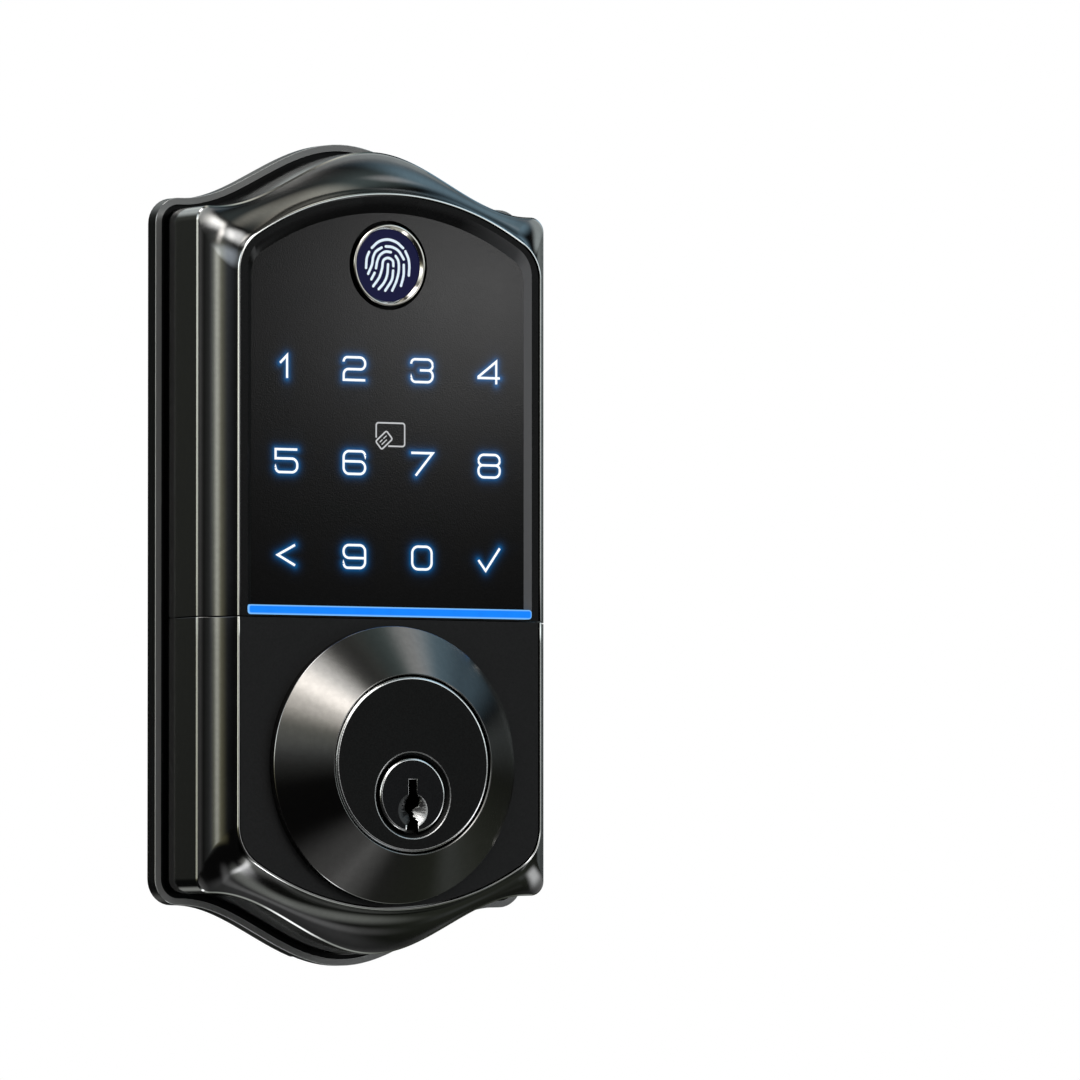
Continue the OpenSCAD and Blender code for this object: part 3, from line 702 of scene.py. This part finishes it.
# Painted highlight: the right-hand chamfer of the opening, which faces left towards the lights, is painted
# lighter, fading round the arch
chamfer_n = np.array([p.normal for p in bezel.data.polygons])
across = -chamfer_n[:, 0] / np.maximum(np.hypot(chamfer_n[:, 0], chamfer_n[:, 2]), 1e-6)
sloped = (chamfer_n[:, 1] < -0.2) & (chamfer_n[:, 1] > -0.98)
bezel.data.attributes.new("edge", "FLOAT", "FACE").data.foreach_set(
    "value", (sloped * np.clip((across - 0.3) / 0.6, 0, 1)).astype(np.float32))
piece(bezel, "matte_black", ["keypad_frame"], material="frame_gloss")

face_plate = prism("lower_plate_visual", lifted(over_top(rim_quarter(0.65), LOWER_END, -1)), 20.8, FACE_FRONT)
boolean(face_plate, prism("hole", circle(18.6, 0, COLLAR_Z), 20, 25))
rounded(face_plate, 0.1, 2, 25)
piece(face_plate, "matte_black", ["lower_face_plate"])

# The collar, the cylinder and the plug
COLLAR_FOOT = FACE_FRONT + 1.7
BORE_R = 16.8
collar = lathe("collar_visual", fillet([
    [BORE_R, 18], [18.5, 18], [18.5, COLLAR_FRONT - 4], [COLLAR_R - 2, COLLAR_FOOT - 0.5],
    [COLLAR_R - 2, FACE_FRONT], [COLLAR_R, FACE_FRONT], [COLLAR_R, COLLAR_FOOT],
    [BORE_R + 0.16, COLLAR_FRONT], [BORE_R, COLLAR_FRONT - 0.14]],
    [0, 0, 0, 0, 0, 0.1, 0.3, 0.12, 0.07]), COLLAR_Z, 256)
# Painted highlight: thin rings at the foot's outer edge and at the bore's front edge are painted lighter
collar_co = np.array([p.center for p in collar.data.polygons]) / MM
collar_r = np.hypot(collar_co[:, 0], collar_co[:, 2] - COLLAR_Z)
near_foot = (collar_r > COLLAR_R - 0.28) & (-collar_co[:, 1] > COLLAR_FOOT - 0.35)
near_bore = (collar_r < BORE_R + 0.25) & (-collar_co[:, 1] > COLLAR_FRONT - 0.3)
painted_highlight = collar.data.attributes.new("edge", "FLOAT", "FACE")
painted_highlight.data.foreach_set("value", (near_foot * 0.4 + near_bore * 0.15).astype(np.float32))
finish_mesh(collar, 40)
weighted(collar)
piece(collar, "collar_metal", ["cylinder_collar"])

# Painted highlight: the rounded front edges of the cylinder face are painted lighter
refined("cylinder_housing", "cylinder_metal", [
    (lambda a, b, angle: near(-a.y, CYLINDER_FRONT) and near(-b.y, CYLINDER_FRONT)
     and math.hypot(a.x, a.z - COLLAR_Z) > CYLINDER_HOLE_R, 0.55, 3, 1.0),
    (lambda a, b, angle: near(-a.y, CYLINDER_FRONT) and near(-b.y, CYLINDER_FRONT)
     and math.hypot(a.x, a.z - COLLAR_Z) < CYLINDER_HOLE_R, 0.12, 2, 0.5),
])
# Painted highlight: the plug's rounded front edges and the left-facing side of the key's dish are painted
# lighter
refined("cylinder_plug", "plug_metal", [
    (lambda a, b, angle: near(-a.y, CYLINDER_FRONT) and near(-b.y, CYLINDER_FRONT) and angle > 60
     and a.xz.length > 6.5, 0.42, 3, 1.0),
    (lambda a, b, angle: near(-a.y, CYLINDER_FRONT) and near(-b.y, CYLINDER_FRONT)
     and a.xz.length < 6.5, 0.07, 1, 0.7),
], body="key_plug", polished=lambda p, n: (0.6 if n.x < 0 else 0.05) if (
    math.hypot(p.x, p.z - DISH_Z) < DISH_R and -0.97 < n.y < -0.15) else 0, clamp=False)

# The fingerprint reader
SENSOR_R = 6.75
RING_R = 7.7
RING_FRONT = PANEL_FRONT + 0.6
ring = lathe("fingerprint_ring_visual", fillet([
    [SENSOR_R + 0.05, PANEL_BACK - 0.8], [9.2, PANEL_BACK - 0.8], [9.2, PANEL_BACK - 0.05],
    [RING_R, PANEL_BACK - 0.05], [RING_R, RING_FRONT], [SENSOR_R + 0.5, RING_FRONT],
    [SENSOR_R + 0.05, RING_FRONT - 0.5]],
    [0, 0, 0, 0, 0.22, 0.12, 0.05]), FINGER_Z, 192)
# Painted shade: the ring's flange and outer wall that show in the gap round the sensor are painted near black
painted_shade_faces = [math.hypot(p.center.x / MM, p.center.z / MM - FINGER_Z) > RING_R - 0.3
          and -p.center.y / MM < RING_FRONT - 0.2 for p in ring.data.polygons]
ring.data.attributes.new("edge", "FLOAT", "FACE").data.foreach_set("value", painted_shade_faces)
finish_mesh(ring, 40)
piece(ring, "ring_metal", ["fingerprint_ring"])
sensor = prism("fingerprint_sensor_visual", circle(SENSOR_R, 0, FINGER_Z, 160), PANEL_BACK - 0.8,
               SENSOR_FRONT)
rounded(sensor, 0.12, 2, 40)
piece(sensor, "sensor_face", ["fingerprint_sensor"])

# ---- Marks: strokes drawn as thin ribbons ----


def round_corners(points, radii, closed=False, steps=7):
    """A polyline with its inner corners rounded; radii has one value for each point."""
    out = []
    n = len(points)
    for i, r in enumerate(radii):
        p = Vector(points[i])
        if r <= 0 or (not closed and i in (0, n - 1)):
            out.append(p)
            continue
        u = (Vector(points[i - 1]) - p).normalized()
        v = (Vector(points[(i + 1) % n]) - p).normalized()
        half = u.angle(v) / 2
        centre = p + (u + v).normalized() * (r / math.sin(half))
        start = p + u * (r / math.tan(half)) - centre
        end = p + v * (r / math.tan(half)) - centre
        turn = start.angle_signed(end)
        for k in range(steps + 1):
            q = start.copy()
            q.rotate(Matrix.Rotation(-turn * k / steps, 2))
            out.append(centre + q)
    return out


def spline(points, steps=8):
    """Smooth curve through points."""
    pts = [Vector(p) for p in points]
    pts = [pts[0] * 2 - pts[1]] + pts + [pts[-1] * 2 - pts[-2]]
    out = []
    for i in range(1, len(pts) - 2):
        a, b, c, d = pts[i - 1:i + 3]
        for k in range(steps):
            t = k / steps
            out.append(0.5 * ((2 * b) + (c - a) * t + (2 * a - 5 * b + 4 * c - d) * t * t
                              + (3 * b - a - 3 * c + d) * t ** 3))
    out.append(pts[-2])
    return out


def ribbon(points, width, closed=False, round_ends=False):
    """Outline strip of a polyline: left and right points with mitred joints."""
    half = width / 2
    n = len(points)
    pairs = []
    for i, p in enumerate(points):
        before = points[i - 1] if (i or closed) else None
        after = points[(i + 1) % n] if (i < n - 1 or closed) else None
        u = (p - before).normalized() if before is not None else None
        v = (after - p).normalized() if after is not None else None
        u = u or v
        v = v or u
        nu = Vector((-u.y, u.x))
        nv = Vector((-v.y, v.x))
        m = nu + nv
        m.normalize()
        reach = half / max(m.dot(nu), 0.35)
        pairs.append((p + m * reach, p - m * reach))
    strip = [list(pair) for pair in pairs]
    caps = []
    if round_ends:
        for i, j in ((0, 1), (n - 1, n - 2)):
            d = (points[i] - points[j]).normalized()
            side = Vector((-d.y, d.x))
            caps.append([points[i] + side * (half * math.cos(t)) + d * (half * math.sin(t))
                         for t in [math.pi * k / 8 for k in range(9)]])
    return strip, caps


def marks(name, strokes, depth, thickness=0.03):
    """Raised print: each stroke is (points, width, closed, round ends)."""
    points = []
    faces = []
    for line, width, closed, round_ends in strokes:
        strip, caps = ribbon(line, width, closed, round_ends)
        n = len(strip)
        base = len(points)
        for left, right in strip:
            for d in (depth, depth + thickness):
                points += [place(left.x, d, left.y), place(right.x, d, right.y)]
        for i in range(n if closed else n - 1):
            a = base + 4 * i
            b = base + 4 * ((i + 1) % n)
            faces += [[a + 2, b + 2, b + 3, a + 3], [a, b, b + 2, a + 2], [a + 1, a + 3, b + 3, b + 1],
                      [a, a + 1, b + 1, b]]
        if not closed:
            for i in (0, n - 1):
                a = base + 4 * i
                faces.append([a, a + 2, a + 3, a + 1])
        for cap in caps:
            base = len(points)
            m = len(cap)
            points += [place(p.x, d, p.y) for d in (depth, depth + thickness) for p in cap]
            faces += [[base + i for i in range(m)], [base + m + i for i in range(m)]]
            faces += [[base + i, base + (i + 1) % m, base + m + (i + 1) % m, base + m + i]
                      for i in range(m)]
    obj = new_object(name, points, faces)
    fix_normals(obj, merge=False)
    return obj


GLYPH_W = 2.32
GLYPH_H = 2.13
STROKE = 0.45
R = 1.15
W = GLYPH_W
H = GLYPH_H
HOOK = 0.85


def digit(points, radii=None, closed=False):
    return points, radii or [0] * len(points), closed


GLYPHS = {
    "one": [digit([[-1.38, H - 1.45], [0.12, H], [0.12, -H]])],
    "two": [digit([[-W, H - HOOK], [-W, H], [W, H], [W, -0.1], [-W, -0.1], [-W, -H], [W, -H]],
                  [0, 0.8, R, 1.0, 1.0, 0, 0])],
    "three": [digit([[-W, H - HOOK], [-W, H], [W, H], [W, 0.08], [-0.45, 0.08]], [0, 0.8, R, 0.95, 0]),
              digit([[-0.45, 0.08], [W, 0.08], [W, -H], [-W, -H], [-W, -H + HOOK]], [0, 0.95, R, 0.9, 0])],
    "four": [digit([[1.55, -H], [1.55, H], [-W, -0.78], [-W, -1.0], [W, -1.0]], [0, 0, 0, 0, 0])],
    "five": [digit([[W, H], [-W, H], [-W, 0.42], [W, 0.42], [W, -H], [-W, -H], [-W, -H + HOOK]],
                   [0, 0, 0, R, R, 0.9, 0])],
    "six": [digit([[W, H - HOOK], [W, H], [-W, H], [-W, -H], [W, -H], [W, 0.22], [-W, 0.22]],
                  [0, 0.9, R, R, R, R, 0])],
    "seven": [digit([[-W, H], [W, H], [-1.35, -H]])],
    "eight": [digit([[-W, H], [W, H], [W, 0.14], [-W, 0.14]], [R, R, 0.9, 0.9], True),
              digit([[-W, 0.14], [W, 0.14], [W, -H], [-W, -H]], [0.9, 0.9, R, R], True)],
    "back": [digit([[1.85, 1.9], [-1.85, 0], [1.85, -1.9]])],
    "nine": [digit([[-W, -H + HOOK], [-W, -H], [W, -H], [W, H], [-W, H], [-W, -0.28], [W, -0.28]],
                   [0, 0.9, R, R, R, R, 0])],
    "zero": [digit([[-2.1, H], [2.1, H], [2.1, -H], [-2.1, -H]], [1.25, 1.25, 1.25, 1.25], True)],
    "tick": [digit([[-W, -0.15], [-0.75, -H], [W, H]])],
}
ROWS = [["one", "two", "three", "four"], ["five", "six", "seven", "eight"], ["back", "nine", "zero", "tick"]]

key_strokes = []
for row, z in zip(ROWS, KEY_Z):
    for glyph, x in zip(row, KEY_X):
        for points, radii, closed in GLYPHS[glyph]:
            line = round_corners(points, radii, closed)
            key_strokes.append(([p + Vector((x, z)) for p in line], STROKE, closed, False))
PRINT_DEPTH = PANEL_FRONT - 0.01
print_piece = marks("key_marks", key_strokes, PRINT_DEPTH)
piece(print_piece, "diffuser", material="key_print")

# The card mark: a card reader's outline and a small card held to its corner
ICON_W = 0.28
reader = [[-2.6, 67.2], [-2.6, 70.0], [3.55, 70.0], [3.55, 65.65], [0.0, 65.65]]
icon_strokes = [(round_corners(reader, [0, 0.5, 0.5, 0.5, 0]), ICON_W, False, False)]
CARD_TURN = Matrix.Rotation(math.radians(41), 2)
CARD_AT = Vector((-0.9, 66.75))


def on_card(x, z):
    p = Vector((x, z))
    p.rotate(CARD_TURN)
    return p + CARD_AT


card = [[-1.55, 1.0], [1.55, 1.0], [1.55, -1.0], [-1.55, -1.0]]
card_line = [on_card(*p) for p in card]
icon_strokes.append((round_corners([list(p) for p in card_line], [0.35] * 4, True), ICON_W, True, False))
for x0, x1, z in ((-0.95, -0.2, 0.3), (0.1, 0.95, 0.3), (-0.95, 0.5, -0.3)):
    icon_strokes.append(([on_card(x0, z), on_card(x1, z)], 0.2, False, False))
icon = marks("card_mark", icon_strokes, PRINT_DEPTH)
piece(icon, "diffuser", material="icon_print")

RIDGES = [
    [[-3.5, 3.2], [-2.0, 4.4], [-0.1, 4.85], [1.8, 4.4], [3.25, 3.35]],
    [[-0.5, 3.55], [0.9, 3.45], [2.3, 2.75], [3.4, 1.25]],
    [[-1.4, 3.3], [-2.6, 2.55], [-3.2, 1.5], [-3.5, 0.0], [-4.3, -1.7]],
    [[-4.1, 2.4], [-4.6, 1.2], [-4.75, -0.6]],
    [[3.75, 2.75], [4.4, 1.4], [4.6, 0.0], [4.5, -1.75]],
    [[0.6, 2.5], [-0.6, 2.55], [-1.7, 1.9], [-2.3, 0.8], [-2.6, -0.6]],
    [[-2.9, -1.5], [-3.6, -2.7]],
    [[1.65, 1.8], [2.25, 0.8], [2.3, -1.0], [1.8, -2.9], [0.9, -4.7]],
    [[3.4, 0.2], [3.35, -1.8], [2.8, -3.75]],
    [[1.15, -0.1], [1.0, 0.9], [0.0, 1.4], [-1.0, 0.9], [-1.3, -0.6], [-1.9, -2.3], [-3.2, -4.0]],
    [[0.0, 0.2], [-0.2, -1.8], [-0.9, -3.3], [-2.0, -4.5]],
    [[1.1, -0.95], [0.8, -2.7], [-0.6, -4.75]],
]
ridge_strokes = []
for ridge in RIDGES:
    line = [p + Vector((0, FINGER_Z)) for p in spline(ridge)]
    ridge_strokes.append((line, 0.5, False, True))
ridges = marks("fingerprint_marks", ridge_strokes, SENSOR_FRONT - 0.01)
piece(ridges, "diffuser", material="finger_print")

# ---- The touch panel, with a fine mesh round each key for the soft light ----


def inside(points, polygon):
    """True for each point that lies inside a polygon."""
    x, z = points[:, 0], points[:, 1]
    poly = np.array(polygon)
    result = np.zeros(len(points), bool)
    for (x0, z0), (x1, z1) in zip(poly, np.roll(poly, -1, axis=0)):
        crosses = (z0 > z) != (z1 > z)
        if z0 != z1:
            result ^= crosses & (x < (x1 - x0) * (z - z0) / (z1 - z0) + x0)
    return result


def stroke_segments(strokes):
    segments = []
    for line, width, closed, ends in strokes:
        points = [list(p) for p in line] + ([list(line[0])] if closed else [])
        segments += [(a, b) for a, b in zip(points, points[1:])]
    return np.array(segments)


def distance_to(points, segments):
    best = np.full(len(points), 1e9)
    for (a, b) in segments:
        d = b - a
        t = np.clip(((points - a) @ d) / max(d @ d, 1e-12), 0, 1)
        best = np.minimum(best, np.linalg.norm(points - a - t[:, None] * d, axis=1))
    return best


# The mesh's step and the distance over which the glow fades, in millimetres
GLOW_STEP = 0.32
GLOW_REACH = 0.42


def touch_panel():
    outline = lifted(over_top(panel_quarter(PANEL_LAP, PANEL_LAP), PANEL_BOTTOM))
    hole = circle(FINGER_HOLE_R, 0, FINGER_Z, 128)
    keep_in = lifted(over_top(panel_quarter(PANEL_LAP - 0.4, PANEL_LAP - 0.4), PANEL_BOTTOM + 0.4))
    segments = stroke_segments(key_strokes)
    coarse = np.array([[x, z] for x in np.arange(-30, 30.1, 3.0) for z in np.arange(36, 112, 3.0)])
    fine = []
    for z in KEY_Z:
        for x in KEY_X:
            fine += [[x + i * GLOW_STEP, z + j * GLOW_STEP] for i in range(-15, 16) for j in range(-14, 15)]
    fine = np.array(fine)
    around = np.min([np.maximum(abs(coarse[:, 0] - x), abs(coarse[:, 1] - z)) for x in KEY_X for z in KEY_Z],
                    axis=0)
    coarse = coarse[around > 5.2]
    free = np.concatenate([coarse, fine])
    free = free[inside(free, keep_in) & (np.linalg.norm(free - [0, FINGER_Z], axis=1) > 9)]
    rim = outline + hole
    n, m = len(outline), len(hole)
    edges = [(i, (i + 1) % n) for i in range(n)] + [(n + i, n + (i + 1) % m) for i in range(m)]
    points = [Vector(p) for p in rim] + [Vector(p) for p in free]

    def faces_of(pts):
        verts, e, faces, ov, oe, of = delaunay_2d_cdt(pts, edges, [], 0, 1e-6)
        middle = np.array([[sum(verts[i].x for i in f) / 3, sum(verts[i].y for i in f) / 3] for f in faces])
        clear = np.linalg.norm(middle - [0, FINGER_Z], axis=1) > FINGER_HOLE_R * 0.999
        good = inside(middle, outline) & clear
        names = [o[0] if o else -1 for o in ov]
        return [[names[i] for i in f] for f, g in zip(faces, good) if g]

    front_faces = faces_of(points)
    back_faces = faces_of([Vector(p) for p in rim])
    count = len(points)
    verts = [place(p.x, PANEL_FRONT, p.y) for p in points] + [place(x, PANEL_BACK, z) for x, z in rim]
    faces = front_faces + [[count + i for i in reversed(f)] for f in back_faces]
    faces += [[a, b, count + b, count + a] for a, b in edges]
    obj = new_object("touch_panel_visual", verts, faces)
    fix_normals(obj, merge=False)
    co = np.array([v.co for v in obj.data.vertices]) / MM
    reach = distance_to(co[:, [0, 2]], segments)
    glow = np.exp(-np.maximum(reach - STROKE / 2, 0) / GLOW_REACH)
    glow[co[:, 1] > -PANEL_FRONT + 0.1] = 0
    attribute = obj.data.attributes.new("glow", "FLOAT", "POINT")
    attribute.data.foreach_set("value", glow.astype(np.float32))
    finish_mesh(obj)
    flat = [abs(p.normal.y) < 0.5 for p in obj.data.polygons]
    obj.data.polygons.foreach_set("use_smooth", flat)
    return obj


panel = piece(touch_panel(), "panel", ["touch_panel"])

# ---- The light bar: paler along its edges ----


def light_bar():
    w = BAR_HIGH.x - BAR_LOW.x
    h = BAR_HIGH.z - BAR_LOW.z
    z = (BAR_HIGH.z + BAR_LOW.z) / 2
    rings = [
        (rounded_rect(w, h, 0.6, 0, z), -BAR_HIGH.y),
        (rounded_rect(w, h, 0.6, 0, z), RIM_FRONT - 0.12),
        (rounded_rect(w - 0.08, h - 0.08, 0.56, 0, z), RIM_FRONT - 0.03),
        (rounded_rect(w - 0.24, h - 0.24, 0.48, 0, z), RIM_FRONT),
        (rounded_rect(w - 0.6, h - 0.6, 0.3, 0, z), RIM_FRONT),
    ]
    obj = loft("light_bar_visual", rings)
    low = (h - 0.6) / 2 + 0.02
    co = np.array([v.co for v in obj.data.vertices]) / MM
    inner = (abs(co[:, 2] - z) < low) & (abs(co[:, 0]) < w / 2 - 0.28)
    attribute = obj.data.attributes.new("edge", "FLOAT", "POINT")
    attribute.data.foreach_set("value", (~inner).astype(np.float32))
    finish_mesh(obj)
    return obj


piece(light_bar(), "light_bar", ["status_light_bar"])

# ---- Parts seen from behind and below ----


def cross_cut(x, z, depth, size=3.4, wide=0.75, deep=1.4):
    """Tool for the cross recess of a screw head that faces the door."""
    arms = []
    for w, h in ((size, wide), (wide, size)):
        outline = [[x - w / 2, z - h / 2], [x + w / 2, z - h / 2],
                   [x + w / 2, z + h / 2], [x - w / 2, z + h / 2]]
        arms.append(prism("arm", outline, depth, depth + deep))
    return arms


head_back = -box_mm("cylinder_screws")[1].y
cuts = []
for x in (-SCREW_X, SCREW_X):
    cuts += cross_cut(x, COLLAR_Z, head_back - 0.2)
refined("cylinder_screws", "steel", [
    (lambda a, b, angle: near(-a.y, head_back) and near(-b.y, head_back), 0.3, 3)], cuts=cuts)

post_back = -box_mm("mounting_posts")[1].y
refined("mounting_posts", "steel", [
    (lambda a, b, angle: near(-a.y, post_back) and near(-b.y, post_back), 0.35, 2)])
refined("tailpiece", "steel", [
    (lambda a, b, angle: a.y > 3 and b.y > 3 and angle > 60, 0.18, 2)], body="tailpiece")
refined("plug_retainer", "brass", [
    (lambda a, b, angle: angle > 60, 0.12, 2)], body="key_plug")
refined("cable_grommet", "rubber", [(lambda a, b, angle: angle > 60, 0.15, 2)])
refined("port_cover", "rubber", [(lambda a, b, angle: angle > 50, 0.08, 2)], body="port_cover")
refined("usb_port", "steel", [(lambda a, b, angle: False, 0.1, 1)])
refined("door_gasket", "rubber", [(lambda a, b, angle: angle > 60, 0.15, 2)])

SLOT_OF = {p["node"]: p["material_slot"] for p in frame["record"]["subparts"]}
for name, obj in NODES.items():
    if not obj.hide_render:
        paint(obj, SLOT_OF[name])

# ---- Camera ----

AZIMUTH = math.radians(-30.5)
ELEVATION = math.radians(-2.31)
DISTANCE = 2.459
AIM = Vector((0.0, -RIM_FRONT * MM, MID_Z * MM))
RIGHT = Vector((math.cos(AZIMUTH), math.sin(AZIMUTH), 0))
UP = Vector((-math.sin(AZIMUTH) * math.sin(ELEVATION), math.cos(AZIMUTH) * math.sin(ELEVATION),
             math.cos(ELEVATION)))
BACK = Vector((math.sin(AZIMUTH) * math.cos(ELEVATION), -math.cos(AZIMUTH) * math.cos(ELEVATION),
               math.sin(ELEVATION)))
VIEW_RIGHT = 0.0279
VIEW_UP = 0.0021
centre = AIM + RIGHT * VIEW_RIGHT + UP * VIEW_UP
camera_data = bpy.data.cameras.new("camera")
camera_data.lens = 437.5
camera_data.sensor_width = 36.0
camera_data.clip_start = 0.01
camera_data.clip_end = 50.0
camera = bpy.data.objects.new("camera", camera_data)
bpy.context.scene.collection.objects.link(camera)
rotation = Matrix((RIGHT, UP, BACK)).transposed()
camera.matrix_world = Matrix.Translation(centre + BACK * DISTANCE) @ rotation.to_4x4()
bpy.context.scene.camera = camera

# ---- Studio: a white backdrop, and softboxes round the object ----

# Each softbox: azimuth and elevation of its centre, half width and height, edge softness, roll (all angles
# in degrees), colour, strength.
# Azimuth 0 is straight in front of the keypad and 90 is to its right.
SOFTBOXES = [
    (-60, 62, 14, 7, 0.9, 0, (1, 0.98, 0.95), 1.6),
    (-31, 45, 6, 5, 0.9, 0, (1, 0.94, 0.88), 2.2),
    (30, 2, 12, 9, 0.6, 0, (1, 1, 1), 0.32),
    (-1, 34, 8, 16, 0.75, 30, (1, 0.99, 0.99), 2.99),
    (-28, 43, 19, 6, 0.78, 33, (1, 0.96, 0.91), 2.48),
    (-92, 67, 33, 11, 0.75, 2, (1, 1, 1), 3.2),
    (-162, 44, 8, 11, 0.76, -48, (1, 0.96, 0.89), 2.5),
    (-72, 10, 6, 14, 0.84, -62, (0.97, 1, 0.96), 1.39),
    (-49, 39, 32, 43, 0.93, -70, (0.95, 1, 0.97), 0.2),
    (-77, 12, 13, 27, 0.99, -51, (1, 0.95, 0.53), 0.43),
    (61, 37, 23, 8, 0.87, 24, (0.51, 0.8, 1), 0.86),
    (127, 21, 25, 9, 0.96, -30, (0.49, 0.78, 1), 0.97),
    (72, 53, 8, 6, 0.76, -11, (1, 0.97, 0.99), 0.71),
    (85, 66, 31, 13, 0.99, 20, (0.76, 1, 1), 0.27),
    (149, 63, 7, 31, 0.92, 22, (1, 0.94, 0.81), 0.83),
    (179, 26, 6, 18, 0.8, -86, (0.92, 1, 1), 1.29),
    (18, -46, 9, 37, 0.81, -13, (0.96, 0.98, 1), 0.13),
    (-148, -77, 27, 6, 0.75, -62, (0.97, 0.98, 1), 2.95),
    (10, -53, 24, 8, 0.81, 2, (0.98, 0.99, 1), 0.27),
    (89, -33, 45, 29, 0.98, -25, (0.88, 1, 0.74), 0.06),
    (-165, 7, 33, 12, 0.85, 41, (0.94, 1, 0.87), 0.12),
    (60, 11, 32, 7, 0.78, -3, (0.88, 0.99, 1), 1.19),
    (-96, 23, 38, 14, 0.75, -3, (0.8, 0.89, 1), 1.22),
    (-173, -43, 32, 9, 0.75, -63, (0.98, 1, 0.95), 0.59),
    (7, 32, 6, 21, 0.75, 24, (1, 0.99, 0.94), 2.96),
    (23, 15, 19, 6, 0.87, 24, (1, 1, 1), 0.39),
    (75, -81, 13, 27, 0.82, -44, (0.95, 1, 0.94), 0.49),
    (65, -14, 19, 7, 0.75, -16, (0.96, 0.98, 1), 1.9),
    (84, -34, 8, 7, 0.8, -4, (0.87, 0.93, 1), 0.09),
    (143, -21, 7, 8, 0.8, -1, (0.97, 1, 0.81), 0.2),
    (-4, 7, 8, 8, 0.81, 1, (1, 1, 0.97), 0.08),
]
AMBIENT = (0.009, 0.009, 0.009)


def studio():
    world = bpy.data.worlds.new("studio")
    bpy.context.scene.world = world
    t = Tree(world)
    ray = t.add("ShaderNodeTexCoord").outputs["Generated"]
    total = None
    for az, el, half_w, half_h, soft, roll, color, strength in SOFTBOXES:
        a, e = math.radians(az), math.radians(el)
        c = Vector((math.sin(a) * math.cos(e), -math.cos(a) * math.cos(e), math.sin(e)))
        level = Vector((math.cos(a), math.sin(a), 0))
        turned = Matrix.Rotation(math.radians(roll), 3, c)
        u = turned @ level
        w = c.cross(u)
        parts = [t.add("ShaderNodeVectorMath", {0: ray, 1: v}, operation="DOT_PRODUCT").outputs["Value"]
                 for v in (c, u, w)]
        forward = t.math("MAXIMUM", parts[0], 0.001)
        x = t.math("ABSOLUTE", t.math("DIVIDE", parts[1], forward))
        y = t.math("ABSOLUTE", t.math("DIVIDE", parts[2], forward))
        mask = t.math("GREATER_THAN", parts[0], 0.0)
        for value, half in ((x, half_w), (y, half_h)):
            size = math.tan(math.radians(half))
            side = t.remap(value, size * (1 - soft), size * (1 + soft), 1.0, 0.0, True)
            mask = t.math("MULTIPLY", mask, side)
        lit = t.add("ShaderNodeVectorMath", {0: shade(color, strength)[:3], "Scale": mask},
                    operation="SCALE").outputs[0]
        total = lit if total is None else t.add(
            "ShaderNodeVectorMath", {0: total, 1: lit}, operation="ADD").outputs[0]
    total = t.add("ShaderNodeVectorMath", {0: total, 1: AMBIENT}, operation="ADD").outputs[0]
    room = t.add("ShaderNodeBackground", {"Color": total, "Strength": 1.0})
    backdrop = t.add("ShaderNodeBackground", {"Color": (1, 1, 1, 1), "Strength": 1.0})
    seen = t.add("ShaderNodeLightPath").outputs["Is Camera Ray"]
    mixed = t.add("ShaderNodeMixShader", {0: seen, 1: room.outputs[0], 2: backdrop.outputs[0]})
    t.add("ShaderNodeOutputWorld", {"Surface": mixed.outputs[0]})


studio()


def area_light(name, at, target, width, height, power, color=(1, 1, 1)):
    data = bpy.data.lights.new(name, "AREA")
    data.shape = "RECTANGLE"
    data.size = width
    data.size_y = height
    data.energy = power
    data.color = color
    obj = bpy.data.objects.new(name, data)
    obj.location = at
    obj.rotation_mode = "QUATERNION"
    obj.rotation_quaternion = (Vector(target) - Vector(at)).to_track_quat("-Z", "Y")
    bpy.context.scene.collection.objects.link(obj)
    return obj


# A small lamp close to the keypad, in line with the camera's reflection in it
panel_light = area_light("panel_light", (0.0886, -0.144, 0.1046), (0.0176, -0.0235, 0.099), 0.03, 0.03, 0.3)
lit_by_lamp = bpy.data.collections.new("lit_by_lamp")
lit_by_lamp.objects.link(panel)
panel_light.light_linking.receiver_collection = lit_by_lamp

# The floor lies as far below the lock as it does under a door's lock
FLOOR_Z = -1.1
FLOOR_HALF = 8.0
floor_mesh = bpy.data.meshes.new("floor")
floor_corners = [(x * FLOOR_HALF, y * FLOOR_HALF, FLOOR_Z) for x, y in ((-1, -1), (1, -1), (1, 1), (-1, 1))]
floor_mesh.from_pydata(floor_corners, [], [[0, 1, 2, 3]])
floor = bpy.data.objects.new("floor", floor_mesh)
bpy.context.scene.collection.objects.link(floor)
MATERIALS["floor"] = surface("floor", (0.8, 0.8, 0.79), 0.0, (0.6, 0.7), 60, 0.02, 0.05)
paint(floor, "floor")
floor.visible_glossy = False

bpy.context.scene.view_settings.view_transform = "Standard"
